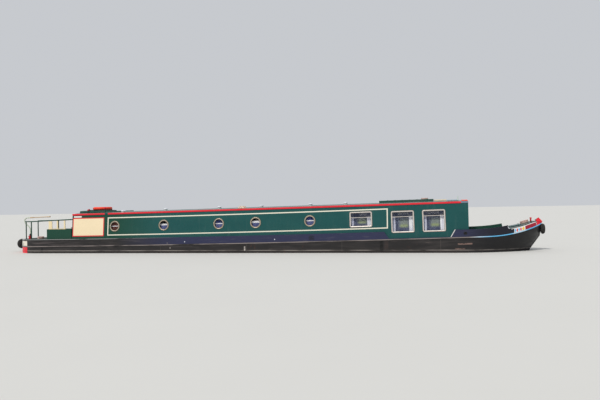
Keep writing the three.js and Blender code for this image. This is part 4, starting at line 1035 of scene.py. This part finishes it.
# Windows: each ring's section as (inset, height)
FACE, HALF_BAR, BAR_BACK, BAR_FRONT = 0.042, 0.0075, -0.006, 0.0105
WINDOW_CORNER, LEAST_CORNER = 0.055, 0.006
WINDOW_RINGS = (
    ("aluminium", [
        (0.0132, 0.0006), (0.0132, 0.0118), (0.016, 0.0125), (0.03, 0.0125), (0.036, 0.0095),
        (0.042, 0.0085), (0.042, -0.04), (0.031, -0.04), (0.031, 0.0006),
    ]),
    ("lip", [(0.0, 0.0006), (0.001, 0.0075), (0.004, 0.0105), (0.013, 0.0112), (0.013, 0.0006)]),
    ("rubber", [(0.041, 0.004), (0.048, 0.004), (0.048, -0.004), (0.041, -0.004)]),
)
SASH = [(0, 0.002), (0, 0.008), (0.008, 0.008), (0.01, 0.006), (0.01, 0.002)]
WINDOW_SCREW = [(0.0045, 0.012), (0.004, 0.0138), (0.0005, 0.0142)]
TRANSOM_BELOW = 0.19


def window(name, side, x, width, sill, head):
    at = panel(side, x, (sill + head) / 2)
    high = head - sill

    def outline(inset):
        return rounded(width - 2 * inset, high - 2 * inset, max(WINDOW_CORNER - inset, LEAST_CORNER))

    piece = Build(f"{name}_fitted")
    for look, profile in WINDOW_RINGS:
        piece.loop(outline, profile, at, look)
    clear_u, clear_v = width / 2 - FACE, high / 2 - FACE
    under, over = high / 2 - TRANSOM_BELOW - HALF_BAR, high / 2 - TRANSOM_BELOW + HALF_BAR
    piece.block((-clear_u, under, BAR_BACK), (clear_u, over, BAR_FRONT), "aluminium", at)
    lower = shifted(at, 0, (under - clear_v) / 2)
    piece.slab(rounded(2 * clear_u, under + clear_v, 0.01), -0.002, 0.002, lower, "glass")
    top = clear_v - over
    sash = shifted(at, 0, over + top / 2)
    piece.loop(opening(2 * clear_u - 0.006, top - 0.004, 0.012), SASH, sash, "rubber")
    piece.slab(rounded(2 * clear_u - 0.02, top - 0.018, 0.006), 0.003, 0.0055, sash, "tinted")
    for u, v in rounded(width - 0.042, high - 0.042, 0.03, 1):
        piece.stud(WINDOW_SCREW, at, u, v, "chrome")
    piece.done(name)


CURTAIN_INSIDE, NET_INSIDE = -0.068, -0.092


def window_curtains(name, side, x, width, sill, head):
    """A curtain at each side of the window, on a rod across its head, and a net below the transom."""
    at = panel(side, x, (sill + head) / 2)
    half, high = width / 2, (head - sill) / 2
    bar = high - TRANSOM_BELOW
    for part, u0, u1, look in (
        ("aft", -half - 0.01, -half + 0.13, "curtain"),
        ("fore", half - 0.165, half + 0.01, "white_curtain"),
    ):
        box = (u0, u1, -high - 0.02, high + 0.01)
        hang(name, f"curtain_{part}", at, box, CURTAIN_INSIDE, look, 0.01, 0.035, 0.003)
    box = (-half - 0.005, half + 0.005, -high - 0.015, bar)
    hang(name, "net", at, box, NET_INSIDE, "net", 0.004, 0.05, 0.002)
    rod = Build(f"{name}_rod")
    reach = half + 0.02
    curtain_rod(rod, at, high, (half + 0.03, CURTAIN_INSIDE, 0.006), (reach, CURTAIN_INSIDE, 0.005))
    curtain_rod(rod, at, bar, (reach, NET_INSIDE, 0.003), (reach, NET_INSIDE - 0.002, 0.004), 8)
    rod.done()


for side_name, side in SIDES:
    for i, size in enumerate(WINDOWS):
        name = f"window_{side_name}_{i + 1}"
        window(name, side, *size)
        window_curtains(name, side, *size)


# Livery, as thin plates: boxes on the cabin side are of x0, x1 and heights over the strake
COACH_LINE = (-5.23, 4.453, 0.348, 0.978)
NAME_PANEL = (-6.578, -5.365, 0.331, 0.981)
WHITE_PLATE = (-6.543, -6.239, 0.995, 1.043)
COACH_WIDTH, PANEL_EDGE = 0.035, 0.03
PAINT_LIFT, PAINT_THICK = 0.0004, 0.0009
SECOND_COAT = (0.0014, 0.0007)
PLATE_SCREW = [(0.004, 0.0024), (0.0036, 0.0034), (0.0005, 0.0038)]


def plate(piece, surface, us, vs, look, lift=PAINT_LIFT, thick=PAINT_THICK):
    """A thin closed plate that follows a surface."""
    rows, backs = ([[surface(u, v, w) for v in vs] for u in us] for w in (lift + thick, lift))
    piece.shell(rows, backs, look, smooth=False)


def border(piece, surface, box, width, look, along):
    """A painted line round a box of the surface."""
    u0, u1, v0, v1 = box

    def outline(inset):
        low = [(u, v0 + inset) for u in spread(u0 + inset, u1 - inset, along)]
        return low + [(u, v1 - inset) for u in spread(u1 - inset, u0 + inset, along)]

    top = PAINT_LIFT + PAINT_THICK
    profile = [(0, PAINT_LIFT), (0, top), (width, top), (width, PAINT_LIFT)]
    piece.loop(outline, profile, surface, look, smooth=False)


def side_livery(side_name, side):
    """The cream line round the portholes, the bare name panel and the blank plate over it."""
    surface = partial(on_side, side)
    piece = Build(f"coach_line_{side_name}")
    border(piece, surface, COACH_LINE, COACH_WIDTH, "line", 60)
    piece.done()
    piece = Build(f"name_panel_{side_name}")
    border(piece, surface, NAME_PANEL, PANEL_EDGE, "red", 16)
    u0, u1, v0, v1 = NAME_PANEL
    inside = PANEL_EDGE + 0.0001
    plate(piece, surface, spread(u0 + inside, u1 - inside, 16), spread(v0 + inside, v1 - inside, 4), "sign")
    piece.done()
    piece = Build(f"plate_{side_name}")
    u0, u1, v0, v1 = WHITE_PLATE
    plate(piece, surface, spread(u0, u1, 4), [v0, v1], "white", thick=0.002)
    for u in (u0 + 0.012, u1 - 0.012):
        for v in (v0 + 0.01, v1 - 0.01):
            piece.stud(PLATE_SCREW, surface, u, v, "chrome")
    piece.done()


# The middle of each along the bow, its half length and its paint, which lies over the white
DIAMONDS = (
    (8.274, 0.028, "blue"), (8.331, 0.028, "red"), (8.388, 0.028, "blue"), (8.445, 0.028, "red"),
    (8.524, 0.048, "yellow"),
)
DIAMOND_UP, DIAMOND_TALL = 0.485, 0.37


def bow_livery(side_name, side):
    """Diamonds and a crimson panel on white, under the white line of the top edge."""
    surface = partial(off_bow, side)
    piece = Build(f"bow_livery_{side_name}")
    plate(piece, surface, spread(8.15, 8.965, 42), spread(0.87, 0.96, 2), "white")
    plate(piece, surface, spread(8.24, 8.965, 38), spread(0.1, 0.869, 6), "white")
    for middle, reach, look in DIAMONDS:

        def diamond(u, v, w):
            return surface(middle + reach * (u + v) / 2, DIAMOND_UP + DIAMOND_TALL * (u - v) / 2, w)

        plate(piece, diamond, spread(-1, 1, 4), spread(-1, 1, 4), look, *SECOND_COAT)
    plate(piece, surface, spread(8.585, 8.952, 20), spread(0.14, 0.83, 5), "crimson", *SECOND_COAT)
    piece.done()


for side_name, side in SIDES:
    side_livery(side_name, side)
    bow_livery(side_name, side)


# Doors, lids and deck fittings
AFT_FACE, FORE_FACE = -6.6275, 6.9275
AFT_HALF, FORE_HALF = 0.362, 0.332
FORE_LOW, FORE_HIGH = 0.362, 1.392
STILE = 0.075
MOULDING = [
    (0, 0.0003), (0, 0.004), (0.003, 0.0058), (0.016, 0.0058), (0.02, 0.0035), (0.024, 0.0012),
    (0.024, 0.0003),
]
PANE_FRAME = [
    (0, 0.0003), (0, 0.004), (0.004, 0.006), (0.013, 0.005), (0.013, -0.018), (0.0125, -0.018),
    (0.0125, 0.0003),
]
STRAP_BOLT = [(0.006, 0.0038), (0.0055, 0.0062), (0.0035, 0.0075), (0.0005, 0.0078)]


def strap(piece, at, length):
    """A strap hinge lying flat, tapered to its end, with three bolts."""
    edge = [(0.0, 0.018), (length * 0.75, 0.012), (length, 0.006)]
    piece.slab(edge + [(u, -v) for u, v in edge[::-1]], 0.0003, 0.0038, at, "black")
    for share in (0.12, 0.5, 0.85):
        piece.stud(STRAP_BOLT, at, length * share, 0, "steel", 12)


def door_dress(name, at, half, low, high, panels):
    """Mouldings, hinges and a handle on a cabin door's outer face."""
    piece = Build(f"{name}_dress", name)
    for v0, v1, look in panels:
        middle = shifted(at, (0.02 + half) / 2, (v0 + v1) / 2)
        outline = opening(half - STILE, v1 - v0, 0.02)
        piece.loop(outline, MOULDING, middle, "door")
        piece.slab(outline(0.0242), 0.0003, 0.0012, middle, look)
    for height in (low + 0.1, high - 0.045):
        strap(piece, lambda u, v, w: at(half - 0.004 - u, height + v, w), 0.15)
    back = shifted(at, 0.028, high - (high - low) * 0.5)
    piece.slab(rounded(0.028, 0.1, 0.012), 0.0003, 0.003, back, "yellow_brass")
    piece.handle(back, [(-0.036, 0.003), (-0.036, 0.016), (-0.026, 0.022)], 0.0045, "yellow_brass")
    piece.done()


def door_glass(name, at):
    """The pane in a fore door, in a slim frame."""
    v0, v1 = FORE_LOW + (FORE_HIGH - FORE_LOW) * 0.52, FORE_HIGH - 0.09
    u0, u1 = 0.003 + STILE, FORE_HALF - STILE
    middle = shifted(at, (u0 + u1) / 2, (v0 + v1) / 2)
    piece = Build(f"{name}_pane", name)
    piece.loop(opening(u1 - u0 + 0.024, v1 - v0 + 0.024, 0.012), PANE_FRAME, middle, "yellow_brass")
    piece.slab(rounded(u1 - u0 - 0.002, v1 - v0 - 0.002, 0.004), -0.012, -0.008, middle, "glass")
    piece.done()


def doors(side_name, side):
    """Both doors of one side; on a leaf u is the distance from the centreline and v the height."""
    name = f"aft_door_{side_name}"
    low, high = (corner[2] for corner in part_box(name))
    panels = ((low + 0.14, low + 0.42, "door"), (low + 0.5, high - 0.075, "sign"))
    door_dress(name, lambda u, v, w: Vector((AFT_FACE - w, side * u, v)), AFT_HALF, low, high, panels)
    name = f"fore_door_{side_name}"

    def leaf(u, v, w):
        return Vector((FORE_FACE + w, side * u, v))

    door_dress(name, leaf, FORE_HALF, FORE_LOW, FORE_HIGH, ((FORE_LOW + 0.14, FORE_LOW + 0.48, "sign"),))
    door_glass(name, leaf)


GAS_HINGE, GAS_FORE = 8.15, 8.505


def gas_lid_top(x, y):
    """The lid's top face, from the deck's own line at its hinge and its fore edge."""
    rise = (fore_edge_z(GAS_FORE) - fore_edge_z(GAS_HINGE)) / (GAS_FORE - GAS_HINGE)
    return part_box("gas_locker_lid")[1][2] + (x - GAS_FORE) * rise - DECK_CAMBER * (y / DECK_HALF) ** 2


def seat_lid_rings(side_name, side):
    """Two finger rings let into a seat lid."""
    name = f"seat_lid_{side_name}"
    piece = Build(f"{name}_ring", name)
    for x in (-7.4, -6.81):
        at = spot(x, side * 0.6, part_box(name)[1][2])
        piece.slab(rounded(0.07, 0.045, 0.012), 0.0003, 0.0025, at, "yellow_brass")
        ring = [at(0.02 * math.cos(a), 0.014 * math.sin(a), 0.0045) for a in turns(24)]
        piece.tube(ring, 0.002, "yellow_brass", 8, closed=True)
    piece.done()


def gas_lid_fittings():
    """The gas locker's handle and straps."""
    piece = Build("gas_locker_lid_fittings", "gas_locker_lid")
    top = laid_on(gas_lid_top)
    for side in (STARBOARD, PORT):
        strap(piece, shifted(top, 8.165, side * 0.19), 0.13)
    piece.handle(shifted(top, 8.455, 0), [(-0.055, 0.001), (-0.055, 0.016), (-0.04, 0.024)], 0.006, "steel")
    piece.done()


HAWSE_X, HAWSE_UP, HAWSE_RADIUS, HAWSE_STRETCH = 6.79, 0.53, 0.046, 1.15
HAWSE_RING = [(0, 0.0004), (0, 0.006), (0.004, 0.01), (0.009, 0.0105), (0.013, 0.007), (0.013, 0.0004)]
SKIN_FITTING = [
    (0.017, 0.0004), (0.017, 0.003), (0.014, 0.005), (0.009, 0.0055), (0.006, 0.004), (0.0005, 0.004),
]
SKIN_FITTINGS = ((-2.317, 0.091), (0.806, 0.108))
FAIRLEAD_FOOT = [(0.014, -0.012), (0.014, 0.004), (0.011, 0.012), (0.006, 0.016), (0.0005, 0.017)]


def hull_fittings(side_name, side):
    """Hawse rings, skin fittings and the fairleads at the ends of the bulwarks."""
    piece = Build(f"hull_fittings_{side_name}")

    def hawse(u, v, w):
        return off_bow(side, HAWSE_X + u, HAWSE_UP + v / BULWARK, w)

    def oval(inset):
        return [(u * HAWSE_STRETCH, v) for u, v in circle(HAWSE_RADIUS - inset, 32)]

    piece.loop(oval, HAWSE_RING, hawse, "black")
    # The dark disc inside the ring is painted shade: it stands for the shadowed hawse hole.
    piece.slab(oval(0.0132), 0.0004, 0.0012, hawse, "dark")
    for x, above in SKIN_FITTINGS:
        piece.lathe(SKIN_FITTING, (x, side * HALF, strake_z(x) + above), "vent", 20, (0, side, 0))
    bow = []
    for t in spread(0, 1, 8):
        rise = Vector((0, 0, 0.005 + 0.02 * math.sin(math.pi * t)))
        bow.append(off_bow(side, 8.06 + 0.06 * t, 1.0, -0.01) + rise)
    piece.tube(smooth_path(bow, 2), 0.009, "vent")
    for x in (8.055, 8.12):
        piece.lathe(FAIRLEAD_FOOT, off_bow(side, x, 1.0, -0.01), "black", 16)
    piece.done()


for side_name, side in SIDES:
    doors(side_name, side)
for side_name, side in SIDES:
    seat_lid_rings(side_name, side)
gas_lid_fittings()
for side_name, side in SIDES:
    hull_fittings(side_name, side)


# What lies on the roof
VENTS = ((-4.785, -0.6), (-3.455, 0), (-1.433, 0), (0.09, 0), (1.81, 0), (3.002, 0))
VENT_CAP = [
    (0.0435, 0.031), (0.0785, 0.032), (0.083, 0.0355), (0.0835, 0.041), (0.081, 0.047), (0.0715, 0.054),
    (0.055, 0.0605), (0.037, 0.0665), (0.018, 0.0702), (0.003, 0.0715), (0.0005, 0.0716),
]
VENT_BASE = [
    (0.0435, -0.006), (0.072, -0.006), (0.072, 0.002), (0.066, 0.006), (0.06, 0.026), (0.0435, 0.028),
]
DOME_AT, DOME_RADIUS = (-0.445, -0.5), 0.13
DOME = [
    (0.15, 0.0), (0.152, 0.004), (0.151, 0.009), (0.145, 0.011), (0.139, 0.028), (0.126, 0.046),
    (0.104, 0.062), (0.072, 0.073), (0.036, 0.079), (0.0005, 0.0805),
]
LAMP_POST_X = 6.63
SLEEVE = [
    (0.045, -0.003), (0.045, 0.003), (0.041, 0.006), (0.02, 0.007), (0.0155, 0.012), (0.0155, 0.1345),
    (0.0135, 0.1352), (0.0005, 0.1355),
]


def vent_cap(number, x, y):
    """A polished mushroom vent over one of the roof's plain ones."""
    foot = roof_top(x, y)
    piece = Build(f"vent_cap_{number}")
    piece.lathe(VENT_CAP, (x, y, foot), "vent", 40)
    piece.loop(partial(circle, count=36), VENT_BASE, spot(x, y, foot), "white")
    piece.done()


def dome():
    """An upturned cream bowl on the roof."""
    x, y = DOME_AT
    piece = Build("roof_dome")
    piece.lathe(DOME, (x, y, roof_top(x, y - DOME_RADIUS)), "mottled", 48)
    piece.done()


def lamp_post():
    """The post at the roof's fore end: a pale sleeve with a cap, on a small foot."""
    piece = Build("lamp_post_sleeve")
    piece.lathe(SLEEVE, (LAMP_POST_X, 0, roof_top(LAMP_POST_X, 0)), "pale", 28)
    piece.done()


PLANK_INNER, PLANK_OUTER = 0.12, 0.149
PLANK_SIDE, PLANK_END = (4.14, 5.868), 4.13
BATTENS, BATTEN_HALF = (4.4, 5.35), 0.018
WHITE_ENDS = ((4.132, 4.165), (5.835, 5.868))


def plank_wedge(x, y, z):
    """Leans the aft end's upper corners forward."""
    return Vector((x + (0.03 if z > plank_top(PLANK_END) - 0.02 and x < 4.1 else 0), y, z))


def plank_sides():
    """The gangplank's side boards, down to the roof, its battens and its white ends."""
    piece = Build("gangplank_sides")
    for side in (STARBOARD, PORT):
        y0, y1 = sorted((side * PLANK_INNER, side * PLANK_OUTER))
        rings = []
        for x in spread(*PLANK_SIDE, 18):
            low, high = roof_top(x, PLANK_INNER) + 0.0015, plank_top(x) - 0.0365
            rings.append([(x, y0, low), (x, y1, low), (x, y1, high), (x, y0, high)])
        piece.rings(rings, "roof", smooth=False)
    for x in spread(*BATTENS, 4):
        top = plank_top(x)
        piece.block((x - BATTEN_HALF, -0.14, top + 0.0005), (x + BATTEN_HALF, 0.14, top + 0.006), "roof")
    for x0, x1 in WHITE_ENDS:
        low, high = plank_top(x0) + 0.0005, plank_top(x1) + 0.0018
        piece.block((x0, -PLANK_OUTER, low), (x1, PLANK_OUTER, high), "white")
    low = (4.085, -PLANK_OUTER, roof_top(4.1, PLANK_OUTER) + 0.001)
    piece.block(low, (4.129, PLANK_OUTER, plank_top(PLANK_END)), "white", plank_wedge)
    piece.done()


CROWN = [(0.4225, 1.0716), (0.6338, 1.056), (0.8, 1.0422), (0.8, 1.0398)]


def crown(name, x0, x1, inner):
    """Fills the camber between a bulkhead's flat top and the roof; its edge is of (y, height over roof_z)."""
    piece = Build(name)
    for side in (STARBOARD, PORT):
        rings = [[(x, side * y, roof_z(x) + high) for y, high in inner + CROWN] for x in (x0, x1)]
        piece.rings(rings, "bulkhead", False)
    piece.done()


# Boards: ends, sides and lift over the roof
BOARDS = ((5.9, 6.27, -0.2, -0.06, 0.0025), (5.88, 6.25, -0.05, 0.09, 0.0035), (5.9, 6.24, 0.1, 0.24, 0.0045))
BOARD_THICK = 0.034
BOX_LOW, BOX_HIGH = (6.72, -0.74, 0.001), (6.898, -0.4, 0.016)
# The folded cloth: the ends of each layer, its sides, and how thick a layer is
FOLDS, FOLD_SIDES, FOLD_HIGH = ((6.275, 6.6), (6.285, 6.59)), (-0.56, -0.22), 0.013


def roof_goods():
    """Boards, a folded cloth and a low red box left on the roof forward of the plank."""
    boards = Build("roof_boards")
    level = laid_on(lambda x, y: roof_top(x, 0))
    for x0, x1, y0, y1, lift in BOARDS:
        boards.block((x0, y0, lift), (x1, y1, lift + BOARD_THICK), "sign", level)
    boards.done(bevel=0.003)
    cloth = Build("roof_cloth")
    for k, ends in enumerate(FOLDS):
        rows, backs = [], []
        for x in spread(*ends, 10):
            line = [Vector((x, y, roof_top(x, y) + 0.002 + FOLD_HIGH * k)) for y in spread(*FOLD_SIDES, 10)]
            backs.append(line)
            rows.append([p + Vector((0, 0, 0.011 + 0.0015 * math.sin(9 * x + 14 * p.y + k))) for p in line])
        cloth.shell(rows, backs, "pale_blue")
    cloth.done()
    box = Build("roof_box")
    box.block(BOX_LOW, BOX_HIGH, "orange", laid_on(roof_top))
    box.done(bevel=0.004)


MOP_Y, MOP_HEAD, MOP_STRANDS, STRAND_RADIUS = -0.385, -6.222, 64, 0.0052
POLE_AFT, POLE_FORE, POLE_RISE, POLE_RADIUS = -6.21, -5.33, 0.0125, 0.0135


def mop():
    """A mop lying along the hatch, its dark pole forward."""
    y = MOP_Y
    foot = hatch_top(-6.15, y) + 0.016
    pole = [(x, y, foot + (x - POLE_AFT) * POLE_RISE) for x in spread(POLE_AFT, POLE_FORE, 8)]
    piece = Build("mop_pole", "hatch")
    piece.tube(pole, POLE_RADIUS, "dark", 14)
    piece.done()
    head = Build("mop_head", "hatch")
    seat = hatch_top(-6.25, y)
    rng = random.Random(3)
    for k, a in enumerate(turns(MOP_STRANDS)):
        a += rng.uniform(-0.05, 0.05)
        reach = rng.uniform(0.075, 0.1)
        droop = rng.uniform(0.002, 0.014)
        points = []
        for t in spread(0, 1, 6):
            ahead = reach * 0.55 * t * math.cos(a) * (1 - 0.2 * t)
            aside = min(max(reach * t * math.sin(a) * 0.85, -0.07), 0.07)
            top = 0.03 + 0.05 * math.sin(math.pi * min(t * 0.75 + 0.1, 1)) * abs(math.cos(a * 0.5 + k))
            high = max(0.006, top * (1 - t * 0.6) - droop * t)
            points.append(Vector((MOP_HEAD - 0.045 * t + ahead, y + aside, seat + high)))
        head.tube(smooth_path(points, 2), STRAND_RADIUS, "mop", 6)
    head.done()


for number, place in enumerate(VENTS, 1):
    vent_cap(number, *place)
dome()
plank_sides()
crown("aft_crown", -6.5995, -6.5505, [(0.341, 1.0398), (0.341, 1.0752)])
crown("fore_crown", 6.8505, 6.8995, [(0.0003, 1.0398), (0.0003, 1.084), (0.21, 1.081)])
roof_goods()
lamp_post()
mop()


# Lifebuoy: its tapes are of (turn, radius)
BUOY_X, BUOY_RING, BUOY_RADIUS = -5.935, 0.285, 0.055
TAPE = (
    (-0.1, 0.053), (-0.098, 0.0552), (-0.05, 0.0555), (0, 0.0555), (0.05, 0.0555), (0.098, 0.0552),
    (0.1, 0.053),
)


def buoy_ring(turn, r):
    """A circle round the lifebuoy's tube."""
    height = hatch_top(BUOY_X + BUOY_RING, 0) + BUOY_RADIUS + 0.001
    ring = []
    for out, up in circle(r, 24):
        out += BUOY_RING
        ring.append((BUOY_X + out * math.cos(turn), out * math.sin(turn), height + up))
    return ring


def lifebuoy():
    """The lifebuoy on the hatch, with a tape at each quarter."""
    piece = Build("lifebuoy_shell", "hatch")
    piece.rings([buoy_ring(turn, BUOY_RADIUS - 0.0008) for turn in turns(72)], "orange", closed=True)
    for quarter in turns(4):
        piece.rings([buoy_ring(math.pi / 4 + quarter + d, r) for d, r in TAPE], "red")
    piece.done("lifebuoy")


lifebuoy()


# Rope fenders: a braided surface over pads, whose half sections are of (radius, height)
BOW_PAD = [(0.0, -0.075), (0.07, -0.075), (0.11, -0.062), (0.132, -0.035), (0.144, 0.0)]
STERN_PAD = [(0.0, -0.06), (0.07, -0.06), (0.105, -0.05), (0.126, -0.026), (0.134, 0.0)]
# Each pad's scale and centre
BOW_PADS = [((0.95, 0.75, 1.15), (9.18, 0, 0.62 + DATUM))]
STERN_PADS = [
    ((1.95, 1.62, 1.1), (-9.09, 0, 0.237 + DATUM)), ((1.85, 1.45, 1.37), (-9.302, 0, 0.237 + DATUM)),
]
BRAID_DEEP, BRAID_SLANT = 0.012, 3.8
COUNTER_MID, COUNTER_RADIUS = -8.05, 0.9512


def profile_at(profile, s):
    """The radius and height at a share of a profile's length, and its outward direction."""
    lengths = [0.0]
    for a, b in zip(profile, profile[1:]):
        lengths.append(lengths[-1] + math.dist(a, b))
    want = s * lengths[-1]
    k = max(i for i, length in enumerate(lengths[:-1]) if length <= want + 1e-12)
    a, b = Vector(profile[k]), Vector(profile[k + 1])
    part = (want - lengths[k]) / (lengths[k + 1] - lengths[k])
    return a.lerp(b, part), Vector((b.y - a.y, a.x - b.x)).normalized()


def fender(name, half, pads, strands):
    """A fender of one or more pads, each crossed by two sets of strands, and kept off the counter."""
    profile = [*half, *((r, -h) for r, h in half[-2::-1])]
    piece = Build(f"{name}_braid")
    for scale, centre in pads:
        rings = []
        for s in spread(0, 1, 60):
            point, normal = profile_at(profile, min(max(s, 0.004), 0.996))
            ring = []
            for a in turns(144):
                one, two = (math.cos(strands * (a + way * BRAID_SLANT * s)) for way in (1, -1))
                r, h = point + normal * (BRAID_DEEP * (max(one, two) - 1))
                x, y = centre[0] + h * scale[0], centre[1] + r * math.sin(a) * scale[1]
                if x < 0:
                    x = min(x, COUNTER_MID - math.sqrt(COUNTER_RADIUS**2 - y * y))
                ring.append((x, y, centre[2] + r * math.cos(a) * scale[2]))
            rings.append(ring)
        piece.rings(rings, "black_rope")
    piece.done(name)


fender("bow_fender", BOW_PAD, BOW_PADS, 14)
fender("stern_fender", STERN_PAD, STERN_PADS, 16)


# Studio: a floor at the waterline, a pale sky and a soft sun from starboard
FLOOR = 150
SKY, SKY_STRENGTH = (0.92, 0.95, 1, 1), 0.62
SUN, SUN_STRENGTH, SUN_ANGLE = (1, 0.96, 0.9), 2.3, math.radians(8)
SUN_FROM = (-0.35, -0.75, 1.0)


def studio():
    look = Look("studio_floor", (0.62, 0.62, 0.6), rough=0.9)
    look.vary(0.02, 0.3)
    mesh = bpy.data.meshes.new("floor")
    corners = [(-FLOOR, -FLOOR, 0), (FLOOR, -FLOOR, 0), (FLOOR, FLOOR, 0), (-FLOOR, FLOOR, 0)]
    mesh.from_pydata(corners, [], [[0, 1, 2, 3]])
    mesh.materials.append(look.done())
    add_object("floor", mesh)
    world = bpy.data.worlds.new("studio")
    world.use_nodes = True
    sky = world.node_tree.nodes["Background"]
    sky.inputs["Color"].default_value, sky.inputs["Strength"].default_value = SKY, SKY_STRENGTH
    bpy.context.scene.world = world
    bpy.context.scene.view_settings.view_transform = "Standard"
    sun = bpy.data.lights.new("sun", "SUN")
    sun.color, sun.energy, sun.angle = SUN, SUN_STRENGTH, SUN_ANGLE
    add_object("sun", sun).rotation_euler = Vector(SUN_FROM).to_track_quat("Z", "Y").to_euler()


studio()
